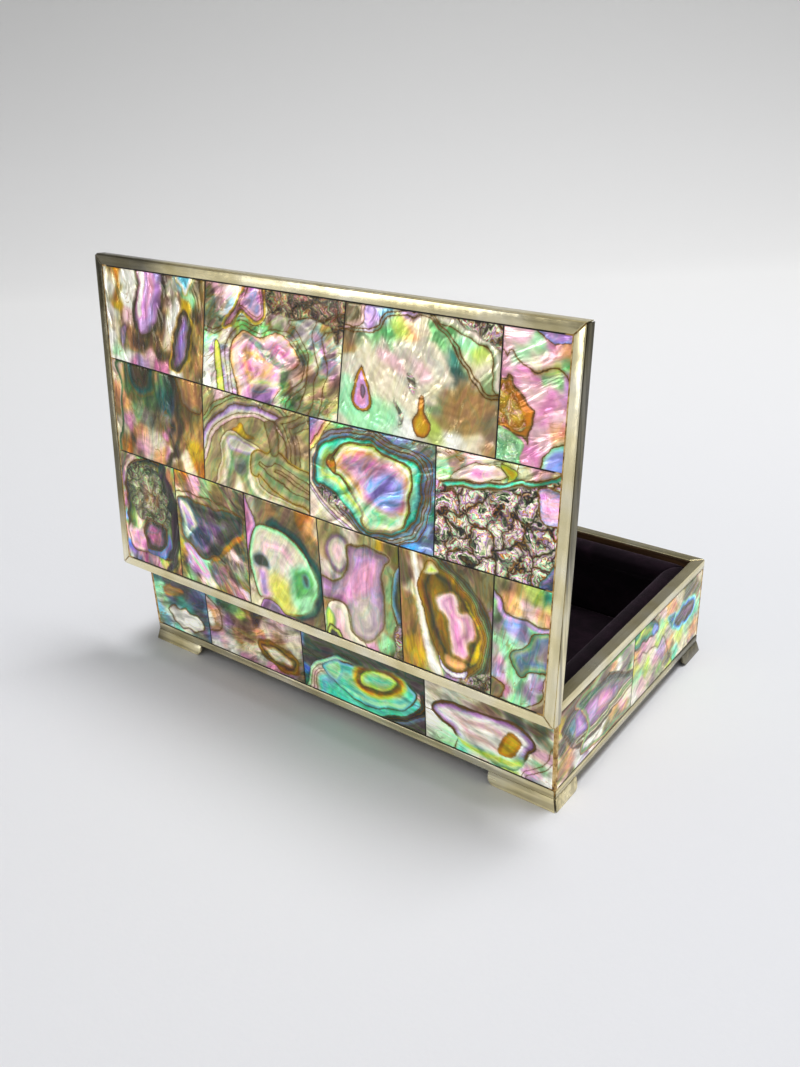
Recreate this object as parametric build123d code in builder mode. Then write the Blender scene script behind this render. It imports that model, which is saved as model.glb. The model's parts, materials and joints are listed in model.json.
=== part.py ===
from build123d import *
from math import cos, radians, sin
import os

os.makedirs("parts", exist_ok=True)

# Body, measured over its metal edging. The front faces -Y and the hinge is at +Y.
body_length = 148.0
body_depth = 89.0
rim_height = 32.1

# Layers of a wall, from the outside inwards
tile_recess = 0.1
resin_recess = 0.2
tile_thickness = 1.0
resin_thickness = 0.4
wall_thickness = 4.0
panel_thickness = 2.5
resin_corner = 1.1

# Nickel silver edging of the body
edging_thickness = 0.5
rim_face_height = 2.9
rear_rim_face_height = 5.6
rim_top_width = 3.2
base_face_height = 2.4
base_under_width = 3.2
mitre_gap = 0.3

# Joints between the shell tiles
joint_width = 0.35

# Bracket feet
foot_height = 3.5
foot_thickness = 0.8
foot_splay = 0.85
foot_long_leg = 19.8
foot_short_leg = 11.1
foot_end_radius = 2.2
foot_plate_width = 3.0
foot_plate_thickness = 0.6

# Velvet lining, rolled over a step in the top of the walls
step_depth = 2.4
step_width = 2.1
lining_gap = 0.3
roll_drop = 0.8
roll_width = 5.8
roll_height = 5.0
roll_radius = 1.7
lining_thickness = 2.2
floor_pad_thickness = 2.0
floor_pad_gap = 0.3

# Lid
lid_overhang = 2.75
lid_thickness = 3.5
lid_gap = 0.15
lid_open_angle = 85.0
face_strip_width = 2.6
face_strip_thickness = 0.4
face_strip_inset = 0.2
edge_seam = 0.1
lid_under_width = 6.0
lid_resin_thickness = 0.2
lid_pad_drop = 0.5
lid_pad_gap = 0.25

# Hinge along the rear edge
hinge_length = 132.0
knuckle_count = 11
knuckle_radius = 1.8
knuckle_side_gap = 0.3
knuckle_clearance = 0.3
leaf_thickness = 0.5
leaf_drop = 0.15
leaf_margin = 0.4
pin_radius = 0.8
pin_clearance = 0.05

# Tile widths of each wall, seen from outside and from left to right, and the rows of the lid from the front
# edge to the hinge. Each set is stretched to fill its wall or row.
wall_tiles = {
    "rear": (24.5, 40.0, 44.2, 39.3),
    "left": (42.4, 46.6),
    "front": (36.0, 41.0, 30.0, 41.0),
    "right": (47.5, 41.5),
}
lid_row_depths = (29.4, 28.0, 31.9)
lid_row_tiles = (
    (39.9, 47.6, 44.5, 16.4),
    (37.4, 39.2, 39.3, 32.5),
    (24.1, 28.5, 27.3, 26.5, 27.1, 14.9),
)
# How far the lower end of each joint lies to the right of its upper end
lid_joint_leans = (
    (-3.5, -3.0, -0.4),
    (-1.0, -0.4, 0.2),
    (0.6, 1.2, 2.8, 2.2, 0.7),
)
# The two lines between the rows dip towards the hinge: (share of the lid's length, dip)
lid_row_lines = (
    ((0.0, -3.1), (0.52, 0.5), (1.0, 0.1)),
    ((0.0, -3.0), (0.70, 0.4), (1.0, 0.0)),
)

# Places that follow from the sizes above
wall_face = tile_recess + tile_thickness + resin_thickness
wall_inside = wall_face + wall_thickness
edging_inside_low = foot_height + edging_thickness
edging_inside_high = rim_height - edging_thickness
roll_inside = rim_top_width + lining_gap + roll_width
lining_inside = wall_inside + lining_thickness
roll_top = rim_height - roll_drop
floor_level = edging_inside_low + panel_thickness
hinge_offset = knuckle_radius + knuckle_clearance
lid_length = body_length + 2 * lid_overhang
lid_depth = body_depth + 2 * lid_overhang
open_cos = cos(radians(lid_open_angle))
open_sin = sin(radians(lid_open_angle))

# The hinge axis lies behind the rear wall and below the lid board, by the same distance
axis_below_rim = hinge_offset - lid_gap - leaf_thickness
lid_edge_out = lid_overhang - hinge_offset
lid_face_up = lid_thickness + lid_gap + axis_below_rim
lid_reach = hinge_offset + lid_edge_out * open_cos + lid_face_up * open_sin

# The origin is on the table, under the middle of everything, with the lid open
body_center_y = (foot_splay - lid_reach) / 2
rear_face_y = body_center_y + body_depth / 2
hinge_axis = Vector(0, rear_face_y + hinge_offset, rim_height - axis_below_rim)
body_base = Plane((0, body_center_y, 0))

# The underside of the lid, turned open about the hinge axis, with y towards the hinge edge
lid_y = Vector(0, open_cos, -open_sin)
lid_z = Vector(0, open_sin, open_cos)
lid_center = hinge_axis + lid_y * (lid_edge_out - lid_depth / 2) + lid_z * (lid_gap + axis_below_rim)
lid_base = Plane(lid_center, x_dir=(1, 0, 0), z_dir=lid_z)

sides = ("front", "rear", "left", "right")
turns = {"rear": 0, "left": 90, "front": 180, "right": 270}


def keep(part, name):
    """Label a finished piece and write it."""
    part.label = name
    export_step(part, f"parts/{name}.step")


def side_run(side, length, depth):
    """The length of one side of a frame, and how far its outer face is from the middle."""
    return (length, depth / 2) if side in ("front", "rear") else (depth, length / 2)


def side_planes(base, side, half):
    """One side's own plane, its cross-section (x inwards, y up) and its outer face (x to the right, y up)."""
    turn = radians(turns[side])
    turned = Plane(base.origin, x_dir=base.x_dir * cos(turn) + base.y_dir * sin(turn), z_dir=base.z_dir)
    middle = turned.origin + turned.y_dir * half
    section = Plane(middle, x_dir=-turned.y_dir, z_dir=-turned.x_dir)
    face = Plane(middle, x_dir=-turned.x_dir, z_dir=turned.y_dir)
    return turned, section, face


def mitred_bar(base, length, depth, side, outline, gap=0.0):
    """One side of a rectangular frame: an outline of (inset, height) with both ends cut at 45 degrees."""
    run, half = side_run(side, length, depth)
    turned, section, _ = side_planes(base, side, half)
    outside = half - min(inset for inset, _ in outline)
    inside = half - max(inset for inset, _ in outline)
    wide = run / 2 - half - gap
    tall = 2 * max(abs(height) for _, height in outline)
    with BuildPart() as bar:
        with BuildSketch(section):
            Polygon(*outline, align=None)
        extrude(amount=run, both=True)
        with BuildSketch(turned):
            corners = [(-wide - outside, outside), (wide + outside, outside)]
            corners += [(wide + inside, inside), (-wide - inside, inside)]
            Polygon(*corners, align=None)
        extrude(amount=tall, both=True, mode=Mode.INTERSECT)
    return bar.part


def line_points(line, start, end):
    """The points of a line between two rows, given as (place, height), from start to end."""
    places = [place for place, _ in line]
    inner = [place for place in places if start < place < end]
    points = []
    for place in [start, *inner, end]:
        after = max(1, next((i for i, p in enumerate(places) if p >= place), len(places) - 1))
        (x0, y0), (x1, y1) = line[after - 1], line[after]
        points.append((place, y0 + (y1 - y0) * (place - x0) / (x1 - x0)))
    return points


def tile_outlines(widths, start, end, low_line, high_line, leans=None):
    """The outlines of one row of tiles, whose widths are stretched to fill it from start to end."""
    leans = leans or (0.0,) * (len(widths) - 1)
    fit = (end - start) / sum(widths)
    tops, bottoms, place = [start], [start], start
    for width, lean in zip(widths, leans):
        place += width * fit
        tops.append(place - lean / 2)
        bottoms.append(place + lean / 2)
    tops.append(end)
    bottoms.append(end)
    half_joint = joint_width / 2
    outlines = []
    for i in range(len(widths)):
        left = half_joint if i > 0 else 0.0
        right = half_joint if i < len(widths) - 1 else 0.0
        high = line_points(high_line, tops[i] + left, tops[i + 1] - right)
        low = line_points(low_line, bottoms[i] + left, bottoms[i + 1] - right)
        outlines.append(low + high[::-1])
    return outlines


def shell_tiles(face, outlines):
    """Tiles let in below a face, one solid each."""
    with BuildPart() as tiles:
        with BuildSketch(face.offset(-tile_recess - tile_thickness)):
            for outline in outlines:
                Polygon(*outline, align=None)
        extrude(amount=tile_thickness)
    return tiles.part


def resin_bed(blank, face, outlines):
    """A bed of resin with a pocket for each tile, and ribs that fill the joints between them."""
    with BuildPart() as bed:
        add(blank)
        with BuildSketch(face.offset(-tile_recess - tile_thickness)):
            for outline in outlines:
                Polygon(*outline, align=None)
        extrude(amount=2 * tile_thickness, mode=Mode.SUBTRACT)
    return bed.part


# Wooden walls, mitred at the corners, with a step along the top for the roll of the lining
wall_outline = [
    (wall_face, edging_inside_low),
    (wall_inside, edging_inside_low),
    (wall_inside, edging_inside_high - step_depth),
    (wall_inside - step_width, edging_inside_high - step_depth),
    (wall_inside - step_width, edging_inside_high),
    (wall_face, edging_inside_high),
]
for side in sides:
    keep(mitred_bar(body_base, body_length, body_depth, side, wall_outline), f"{side}_wall")

# Bottom panel, let in between the walls
with BuildPart() as bottom_panel:
    with BuildSketch(body_base.offset(edging_inside_low)):
        Rectangle(body_length - 2 * wall_inside, body_depth - 2 * wall_inside)
    extrude(amount=panel_thickness)
keep(bottom_panel.part, "bottom_panel")

# Angles over the rim and round the base. The rear rim angle is deeper, because the hinge is soldered to it.
for side in sides:
    face_height = rear_rim_face_height if side == "rear" else rim_face_height
    rim_outline = [
        (0, rim_height),
        (0, rim_height - face_height),
        (edging_thickness, rim_height - face_height),
        (edging_thickness, edging_inside_high),
        (rim_top_width, edging_inside_high),
        (rim_top_width, rim_height),
    ]
    base_outline = [
        (0, foot_height),
        (base_under_width, foot_height),
        (base_under_width, edging_inside_low),
        (edging_thickness, edging_inside_low),
        (edging_thickness, foot_height + base_face_height),
        (0, foot_height + base_face_height),
    ]
    keep(mitred_bar(body_base, body_length, body_depth, side, rim_outline, mitre_gap), f"rim_angle_{side}")
    keep(mitred_bar(body_base, body_length, body_depth, side, base_outline, mitre_gap), f"base_angle_{side}")

# Shell tiles and their resin beds, which close the corners of the box
for side in sides:
    run, half = side_run(side, body_length, body_depth)
    face = side_planes(body_base, side, half)[2]
    tiles_low = foot_height + base_face_height + joint_width
    tiles_high = rim_height - (rear_rim_face_height if side == "rear" else rim_face_height) - joint_width
    end = run / 2 - resin_corner
    low_line = [(-end, tiles_low), (end, tiles_low)]
    high_line = [(-end, tiles_high), (end, tiles_high)]
    outlines = tile_outlines(wall_tiles[side], -end, end, low_line, high_line)
    bed_outline = [
        (edging_thickness, edging_inside_low),
        (wall_face, edging_inside_low),
        (wall_face, edging_inside_high),
        (edging_thickness, edging_inside_high),
        (edging_thickness, tiles_high + joint_width),
        (resin_recess, tiles_high + joint_width),
        (resin_recess, tiles_low - joint_width),
        (edging_thickness, tiles_low - joint_width),
    ]
    blank = mitred_bar(body_base, body_length, body_depth, side, bed_outline)
    keep(shell_tiles(face, outlines), f"shell_tiles_{side}")
    keep(resin_bed(blank, face, outlines), f"resin_bed_{side}")


def foot_leg(side, end, leg_length):
    """One leg of a bracket foot, splayed outwards, with its free end rounded at the table."""
    run, half = side_run(side, body_length, body_depth)
    turned, section, face = side_planes(body_base, side, half)
    leg_outline = [(0, foot_height), (-foot_splay, 0)]
    leg_outline += [(foot_thickness - foot_splay, 0), (foot_thickness, foot_height)]
    blank = mitred_bar(body_base, body_length, body_depth, side, leg_outline, mitre_gap)
    with BuildPart() as leg:
        add(blank)
        with BuildSketch(face) as shape:
            with Locations((end * run / 2, foot_height / 2)):
                Rectangle(2 * leg_length, foot_height)
            low = shape.vertices().group_by(Axis.Y)[0].sort_by(Axis.X)
            fillet(low[0] if end > 0 else low[-1], foot_end_radius)
        extrude(amount=2 * foot_plate_width, both=True, mode=Mode.INTERSECT)
    return leg.part


# Bracket feet under the four corners, each bent from one strip round a flat plate
for front_rear, sign_y in (("front", -1), ("rear", 1)):
    for left_right, sign_x in (("left", -1), ("right", 1)):
        # On an outer face x runs to the right as seen from outside, so the ends swap from side to side
        long_leg = foot_leg(front_rear, -sign_x * sign_y, foot_long_leg)
        short_leg = foot_leg(left_right, sign_x * sign_y, foot_short_leg)
        with BuildPart() as foot:
            add(long_leg)
            add(short_leg)
            with BuildSketch(body_base.offset(foot_height - foot_plate_thickness)):
                corner_x = sign_x * (body_length / 2 - mitre_gap)
                corner_y = sign_y * (body_depth / 2 - mitre_gap)
                in_x = sign_x * foot_plate_width
                in_y = sign_y * foot_plate_width
                end_x = sign_x * (body_length / 2 - foot_long_leg)
                end_y = sign_y * (body_depth / 2 - foot_short_leg)
                plate = [(corner_x, corner_y), (end_x, corner_y), (end_x, corner_y - in_y)]
                plate += [(corner_x - in_x, corner_y - in_y), (corner_x - in_x, end_y), (corner_x, end_y)]
                Polygon(*plate, align=None)
            extrude(amount=foot_plate_thickness)
        keep(foot.part, f"foot_{front_rear}_{left_right}")

# Velvet linings of the walls: a flat pad that swells into a roll over the step in the wall
roll_low = roll_top - roll_height
roll_outside = rim_top_width + lining_gap
step_level = edging_inside_high - step_depth
lining_outline = [
    (wall_inside, floor_level),
    (lining_inside, floor_level),
    (lining_inside, roll_low - roll_radius),
    (roll_inside, roll_low),
    (roll_inside, roll_top - roll_radius),
    (roll_inside - roll_radius, roll_top),
    (roll_outside + roll_radius, roll_top),
    (roll_outside, step_level + roll_radius / 2),
    (roll_outside, step_level),
    (wall_inside, step_level),
]
for side in sides:
    run, half = side_run(side, body_length, body_depth)
    blank = mitred_bar(body_base, body_length, body_depth, side, lining_outline)
    with BuildPart() as lining:
        add(blank)
        along = Axis.X if side in ("front", "rear") else Axis.Y
        top_edges = lining.edges().filter_by(along).group_by(Axis.Z)[-1]
        fillet(top_edges, roll_radius / 3)
    keep(lining.part, f"lining_{side}")

# Velvet pad on the floor
with BuildPart() as floor_pad:
    with BuildSketch(body_base.offset(floor_level)):
        inset = lining_inside + floor_pad_gap
        Rectangle(body_length - 2 * inset, body_depth - 2 * inset)
    extrude(amount=floor_pad_thickness)
    fillet(floor_pad.faces().sort_by(Axis.Z)[-1].edges(), floor_pad_thickness / 3)
keep(floor_pad.part, "floor_pad")


def hinge_leaf(leaf_plane, first, leaf_low, leaf_high, notch_low, notch_high):
    """A leaf drawn on a plane through the hinge axis line, with knuckles on every other place from first on.

    The plane has x along the hinge and y square to it, and its normal points away from the axis."""
    pitch = hinge_length / knuckle_count
    width = pitch - knuckle_side_gap
    middles = [-hinge_length / 2 + pitch * (i + 0.5) for i in range(knuckle_count)]
    own = middles[first::2]
    other = middles[1 - first :: 2]
    with BuildPart() as leaf:
        with BuildSketch(leaf_plane.offset(hinge_offset - leaf_thickness)):
            with Locations((0, (leaf_low + leaf_high) / 2)):
                Rectangle(hinge_length - knuckle_side_gap, leaf_high - leaf_low)
            with Locations(*[(x, (notch_low + notch_high) / 2) for x in other]):
                Rectangle(pitch + knuckle_side_gap, notch_high - notch_low, mode=Mode.SUBTRACT)
        extrude(amount=leaf_thickness)
        barrel = Plane(leaf_plane.origin, x_dir=leaf_plane.y_dir, z_dir=leaf_plane.x_dir)
        for x in own:
            with BuildSketch(barrel.offset(x)):
                Circle(knuckle_radius)
            extrude(amount=width / 2, both=True)
        with BuildSketch(barrel):
            Circle(pin_radius + pin_clearance)
        extrude(amount=hinge_length, both=True, mode=Mode.SUBTRACT)
    return leaf.part


# Hinge leaf soldered to the rear rim angle. Its notches clear the knuckles of the lid's leaf.
notch = (knuckle_radius**2 - (hinge_offset - leaf_thickness) ** 2) ** 0.5 + knuckle_clearance
body_leaf_plane = Plane(hinge_axis, x_dir=(1, 0, 0), z_dir=(0, -1, 0))
body_leaf = hinge_leaf(
    body_leaf_plane,
    0,
    axis_below_rim - rear_rim_face_height + leaf_margin,
    axis_below_rim - leaf_drop,
    -notch,
    axis_below_rim,
)
keep(body_leaf, "hinge_leaf_body")

# Hinge leaf let into the underside of the lid, between the ends of the side edge angles
lid_leaf_plane = Plane(hinge_axis, x_dir=(1, 0, 0), z_dir=lid_z)
lid_leaf = hinge_leaf(
    lid_leaf_plane,
    1,
    lid_edge_out - lid_under_width,
    lid_edge_out,
    -notch,
    lid_edge_out + notch,
)
keep(lid_leaf, "hinge_leaf_lid")

# Hinge pin
with BuildPart() as hinge_pin:
    with BuildSketch(Plane(hinge_axis, x_dir=(0, 1, 0), z_dir=(1, 0, 0))):
        Circle(pin_radius)
    extrude(amount=hinge_length / 2, both=True)
keep(hinge_pin.part, "hinge_pin")

# Heights in the lid, from its underside
board_low = leaf_thickness
board_high = lid_thickness - tile_recess - tile_thickness - lid_resin_thickness
strip_low = lid_thickness - face_strip_thickness

# Lid board
with BuildPart() as lid_board:
    with BuildSketch(lid_base.offset(board_low)):
        Rectangle(lid_length - 2 * edging_thickness, lid_depth - 2 * edging_thickness)
    extrude(amount=board_high - board_low)
keep(lid_board.part, "lid_board")

# Edge angles round the lid, folded under it except along the hinge, and flat strips on its outer face
for side in sides:
    edge_outline = [
        (0, board_low),
        (edging_thickness, board_low),
        (edging_thickness, strip_low - edge_seam),
        (0, strip_low - edge_seam),
    ]
    if side != "rear":
        edge_outline[:2] = [(0, 0), (lid_under_width, 0), (lid_under_width, board_low), (edging_thickness, board_low)]
    strip_outline = [
        (face_strip_inset, strip_low),
        (face_strip_inset + face_strip_width, strip_low),
        (face_strip_inset + face_strip_width, lid_thickness),
        (face_strip_inset, lid_thickness),
    ]
    keep(mitred_bar(lid_base, lid_length, lid_depth, side, edge_outline, mitre_gap / 2), f"lid_edge_{side}")
    keep(mitred_bar(lid_base, lid_length, lid_depth, side, strip_outline, mitre_gap / 2), f"lid_face_strip_{side}")

# Three rows of shell tiles on the lid, drawn as seen from outside with the hinge edge at the bottom
lid_face = Plane(lid_center + lid_z * lid_thickness, x_dir=(-1, 0, 0), z_dir=lid_z)
tiles_inset = face_strip_inset + face_strip_width + joint_width
tiles_end = lid_length / 2 - tiles_inset
tiles_top = lid_depth / 2 - tiles_inset
row_fit = 2 * tiles_top / sum(lid_row_depths)
lines = [[(-tiles_end, tiles_top), (tiles_end, tiles_top)]]
row_level = tiles_top
for row_depth, line in zip(lid_row_depths, lid_row_lines):
    row_level -= row_depth * row_fit
    lines.append([(-tiles_end + 2 * tiles_end * share, row_level - dip) for share, dip in line])
lines.append([(-tiles_end, -tiles_top), (tiles_end, -tiles_top)])
all_outlines = []
for row, (widths, leans) in enumerate(zip(lid_row_tiles, lid_joint_leans)):
    lower_joint = joint_width / 2 if row < 2 else 0.0
    upper_joint = joint_width / 2 if row > 0 else 0.0
    low_line = [(x, y + lower_joint) for x, y in lines[row + 1]]
    high_line = [(x, y - upper_joint) for x, y in lines[row]]
    outlines = tile_outlines(widths, -tiles_end, tiles_end, low_line, high_line, leans)
    keep(shell_tiles(lid_face, outlines), f"lid_shell_row_{row + 1}")
    all_outlines += outlines

# Resin bed of the lid: a border under the face strips, and a field that is a little higher round the tiles
border = face_strip_inset + face_strip_width
with BuildPart() as bed_blank:
    with BuildSketch(lid_base.offset(board_high)):
        Rectangle(lid_length - 2 * edging_thickness, lid_depth - 2 * edging_thickness)
    extrude(amount=strip_low - board_high)
    with BuildSketch(lid_base.offset(strip_low)):
        Rectangle(lid_length - 2 * border, lid_depth - 2 * border)
    extrude(amount=face_strip_thickness - resin_recess)
keep(resin_bed(bed_blank.part, lid_face, all_outlines), "lid_resin_bed")

# Velvet panel inside the lid, within the folded edges
with BuildPart() as lid_lining:
    with BuildSketch(lid_base.offset(board_low)):
        inset = lid_under_width + lid_pad_gap
        Rectangle(lid_length - 2 * inset, lid_depth - 2 * inset)
    extrude(amount=-board_low - lid_pad_drop)
    low_face = lid_lining.faces().sort_by(Axis(lid_center, lid_z))[0]
    fillet(low_face.edges(), (board_low + lid_pad_drop) / 3)
keep(lid_lining.part, "lid_lining")

closed_height = rim_height + lid_gap + lid_thickness
inside = (body_length - 2 * roll_inside, body_depth - 2 * roll_inside)
print(f"lid {lid_length} x {lid_depth}, closed height {closed_height:.2f}")
print(f"opening {inside[0]:.1f} x {inside[1]:.1f}, floor at {floor_level + floor_pad_thickness:.2f}")
print(f"hinge axis y {hinge_axis.Y:.4f}, z {hinge_axis.Z:.4f}; body centre y {body_center_y:.4f}")
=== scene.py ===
import json
import math
import random
import re
from functools import partial

import bmesh
import bpy
import numpy as np
from mathutils import Matrix, Vector


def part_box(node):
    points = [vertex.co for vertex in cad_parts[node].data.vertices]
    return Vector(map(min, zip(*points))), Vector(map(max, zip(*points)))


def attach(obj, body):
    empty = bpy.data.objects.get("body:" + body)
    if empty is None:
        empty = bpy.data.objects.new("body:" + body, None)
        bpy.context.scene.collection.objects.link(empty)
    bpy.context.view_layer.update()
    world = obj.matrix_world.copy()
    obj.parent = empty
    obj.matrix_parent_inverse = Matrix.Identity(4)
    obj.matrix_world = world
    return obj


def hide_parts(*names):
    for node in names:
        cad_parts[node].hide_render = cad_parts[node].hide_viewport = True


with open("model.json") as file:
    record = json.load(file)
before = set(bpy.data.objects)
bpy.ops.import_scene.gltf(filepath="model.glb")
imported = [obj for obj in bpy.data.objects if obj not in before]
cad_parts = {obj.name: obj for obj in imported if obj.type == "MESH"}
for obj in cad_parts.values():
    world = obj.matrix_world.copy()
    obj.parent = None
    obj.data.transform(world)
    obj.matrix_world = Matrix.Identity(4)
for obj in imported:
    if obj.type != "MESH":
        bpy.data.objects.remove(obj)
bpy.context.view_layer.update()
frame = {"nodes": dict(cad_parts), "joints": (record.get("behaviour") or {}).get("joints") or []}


# Walls and bottom of the box
# Thin boards of close-grained lime wood, stained brown, mitred at the corners and glued. Only slits of their
# tops and the underside of the bottom panel ever show.

MM = 0.001


def linear(colour):
    """An sRGB hex colour as the linear values that a shader takes."""
    parts = [int(colour[i : i + 2], 16) / 255 for i in (1, 3, 5)]
    return [c / 12.92 if c <= 0.04045 else ((c + 0.055) / 1.055) ** 2.4 for c in parts] + [1.0]


def fill_inputs(made, inputs):
    """Sets the inputs of a node, given by name or by number, or links them where the value is a socket."""
    for place, value in inputs.items():
        if isinstance(value, bpy.types.NodeSocket):
            made.id_data.links.new(value, made.inputs[place])
        elif value is not None:
            made.inputs[place].default_value = linear(value) if isinstance(value, str) else value


def add_node(tree, kind, *values, out=0, stops=(), **settings):
    """Adds a node and returns one of its outputs. Values go to its open inputs in order, settings to the property
    of that name, or with a capital letter to the input, and stops are the places and colours of a ramp."""
    made = tree.nodes.new("ShaderNode" + kind)
    for name, value in settings.items():
        if name[0].islower():
            setattr(made, name, value)
    places = [i for i, socket in enumerate(made.inputs) if socket.enabled]
    fill_inputs(made, dict(zip(places, values)))
    fill_inputs(made, {name: value for name, value in settings.items() if name[0].isupper()})
    for place, _ in stops[2:]:
        made.color_ramp.elements.new(place)
    for i, (place, colour) in enumerate(stops):
        made.color_ramp.elements[i].position = place
        made.color_ramp.elements[i].color = linear(colour)
    return made.outputs[out] if isinstance(out, str) else [socket for socket in made.outputs if socket.enabled][out]


def new_material(name, surface):
    """A material, its surface shader and add_node for its node tree."""
    made = bpy.data.materials.new(name)
    made.use_nodes = True
    shader = made.node_tree.nodes["Principled BSDF"]
    fill_inputs(shader, surface)
    return made, shader, partial(add_node, made.node_tree)


def finish_node(name, made):
    """Gives a CAD piece its finish."""
    slots = frame["nodes"][name].data.materials
    slots.clear()
    slots.append(made)


# Stained lime wood, planed: long fine streaks, nearly matt.
grain_width = 0.9 * MM
grain_stretch = (0.06, 1, 1)
grain_depth = 0.03 * MM
lime_wood, shader, add = new_material("stained_lime_wood", {"Roughness": 0.6})
along = add("Mapping", add("TexCoord", out="Object"), Scale=grain_stretch)
streaks = add("TexNoise", along, 1 / grain_width, 4, 0.6, Distortion=0.4)
colour = add("ValToRGB", streaks, stops=((0.3, "#33200F"), (0.5, "#4A3018"), (0.72, "#5E4022")))
relief = add("Bump", Distance=grain_depth, Height=streaks)
fill_inputs(shader, {"Base Color": colour, "Normal": relief})
for name in ("front_wall", "rear_wall", "left_wall", "right_wall", "bottom_panel", "lid_board"):
    finish_node(name, lime_wood)


# Resin beds
# Dark brown casting resin poured round the tiles and struck off flush. It shows as the thin lines between the
# tiles and as the fillets at the corners of the box, where it is clearer and honey brown.

# Cast resin, sanded: cloudy brown, a little shine, fine specks.
cloud_size = 1.6 * MM
speck_size = 0.35 * MM
speck_depth = 0.08 * MM
corner_reach, corner_fade = 2.2 * MM, 0.6 * MM
dark_resin, shader, add = new_material(
    "brown_casting_resin", {"Roughness": 0.5, "IOR": 1.5, "Specular IOR Level": 0.3}
)
spot = add("TexCoord", out="Object")
clouds = add("TexNoise", spot, 1 / cloud_size, 3, 0.6)
brown = add("ValToRGB", clouds, stops=((0.35, "#0B0804"), (0.6, "#1A1208"), (0.75, "#2E200C")))
honey_stops = ((0.34, "#5A3C16"), (0.44, "#B08540"), (0.56, "#D8B674"), (0.72, "#EFD9A8"))
honey = add("ValToRGB", clouds, stops=honey_stops)
wall_left, wall_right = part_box("rim_angle_left")[0][0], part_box("rim_angle_right")[1][0]
wall_front, wall_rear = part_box("rim_angle_front")[0][1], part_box("rim_angle_rear")[1][1]
ends = []
for axis, low, high in (("X", wall_left, wall_right), ("Y", wall_front, wall_rear)):
    off = add("SeparateXYZ", spot, out=axis)
    off = add("Math", off, (low + high) / 2, operation="SUBTRACT")
    off = add("Math", off, operation="ABSOLUTE")
    start = (high - low) / 2 - corner_reach
    ends.append(add("MapRange", off, start, start + corner_fade, 0, 1))
corner = add("Math", *ends, operation="MULTIPLY")
colour = add("Mix", corner, brown, honey, data_type="RGBA")
specks = add("TexNoise", spot, 1 / speck_size, 3, 0.6)
relief = add("Bump", Distance=speck_depth, Height=specks)
fill_inputs(shader, {"Base Color": colour, "Normal": relief})
sides = ("front", "rear", "left", "right")
for name in ["resin_bed_" + side for side in sides] + ["lid_resin_bed"]:
    finish_node(name, dark_resin)


# Shell tiles
# Slices of abalone shell, ground flat, cut square and let into the resin. The grinding cuts through the
# shell's layers, so each tile shows nested outlines like a map's contour lines, in pearly colours with thin
# brown lines of the horny layer between them. Polished, so they shine through a clear skin.

shell_colours = dict(item.split() for item in """
white #FBFAF0, cream #EFE4CB, pearl #DAD3C4, blush #F1CBD0, pink #E5A9C8, rose #C583A8, lilac #C2A4D4,
violet #8C7AB2, periwinkle #A3ABEB, blue #5F8ED2, sky #92D2E8, aqua #78DEC8, teal #3B9385, deep_teal #155E5C,
mint #B2EFBF, lime #C6DC78, yellow #E9E486, green #74B47A, leaf #4C7348, gold #CFAE4A, amber #BA8220,
ochre #946F1E, peach #EDB38C, tan #A88A5E, taupe #84765C, olive #68602F, umber #4C3F22, brown #382A10,
grey #8B8A84, slate #4B4F4A, charcoal #211F22, mauve #8E7590, sage #8CA37C, steel #6F8CA6, indigo #4A4A72,
khaki #ABA078, dusk #B39CAE""".split(","))

smoothly = {"interpolation_type": "SMOOTHSTEP"}

# Sizes in mm, as the tiles' outlines and patterns are. The silk of real shell is finer, and is drawn as coarse as
# it needs to show.
grid_step, same_place, same_level = 0.5, 0.001, 0.01
edge_round, edge_drop, tile_thickness = 0.25, 0.1, 1.0
line_width, band_softness = 0.16, 0.12
bend_reach, bend_length, wash_bend_reach, wash_bend_length = 0.35, 7.0, 1.0, 6.0
ragged_size, ragged_reach, frayed_size, frayed_reach = 1.9, 0.9, 0.7, 0.55
pearl_size, fold_size, painted_glint_size, silk_size, sway_size = 4.0, 5.5, 3.2, 0.45, 4.5
vein_gap_size, thick_size = 6.0, 5.0
chip_size, crust_size, crack_sizes, crack_bend_size, crack_bend = 3.6, 4.0, (5.6, 2.0), 5.0, 9
fold_depth, silk_depth, crack_depth = 0.8, 0.003, 1.2

# How close to its edge a tile's first step is, how weak the base colour is against a wash, how fast a wash falls
# off, and how far apart the tiles lie in the noise.
edge_share, base_weight, wash_fall, tile_apart = 0.35, 0.04, 1.1, 7.0
pearl_hues = (("rose", 0.28), ("pink", 0.37), ("cream", 0.44), ("lime", 0.5), ("aqua", 0.56), ("cream", 0.61),
              ("lilac", 0.7))
chip_hues = (("umber", 0.3), ("charcoal", 0.37), ("sage", 0.41), ("cream", 0.445), ("lilac", 0.48), ("amber", 0.51),
             ("cream", 0.535), ("mint", 0.57), ("pink", 0.6), ("ochre", 0.64), ("charcoal", 0.69))


def outline_of(text):
    """An outline from text: places across and down, in mm."""
    return [tuple(map(float, item.split())) for item in text.split(",")]


def form(text):
    """One form of a tile from text: its closed outline | bands of colour by depth inside it | how soft they are |
    the depths of lines that run along it | how wide those are. What is left out takes its usual value."""
    outline, bands, soft, lines, width = (text + "|" * 4).split("|")[:5]
    bands = [item.split() for item in bands.split(",") if item.strip()]
    return {
        "points": outline_of(outline),
        "bands": [(float(depth), hue) for depth, hue in bands],
        "soft": float(soft) if soft.strip() else band_softness,
        "lines": [float(depth) for depth in lines.split()],
        "width": float(width) if width.strip() else line_width,
    }


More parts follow.
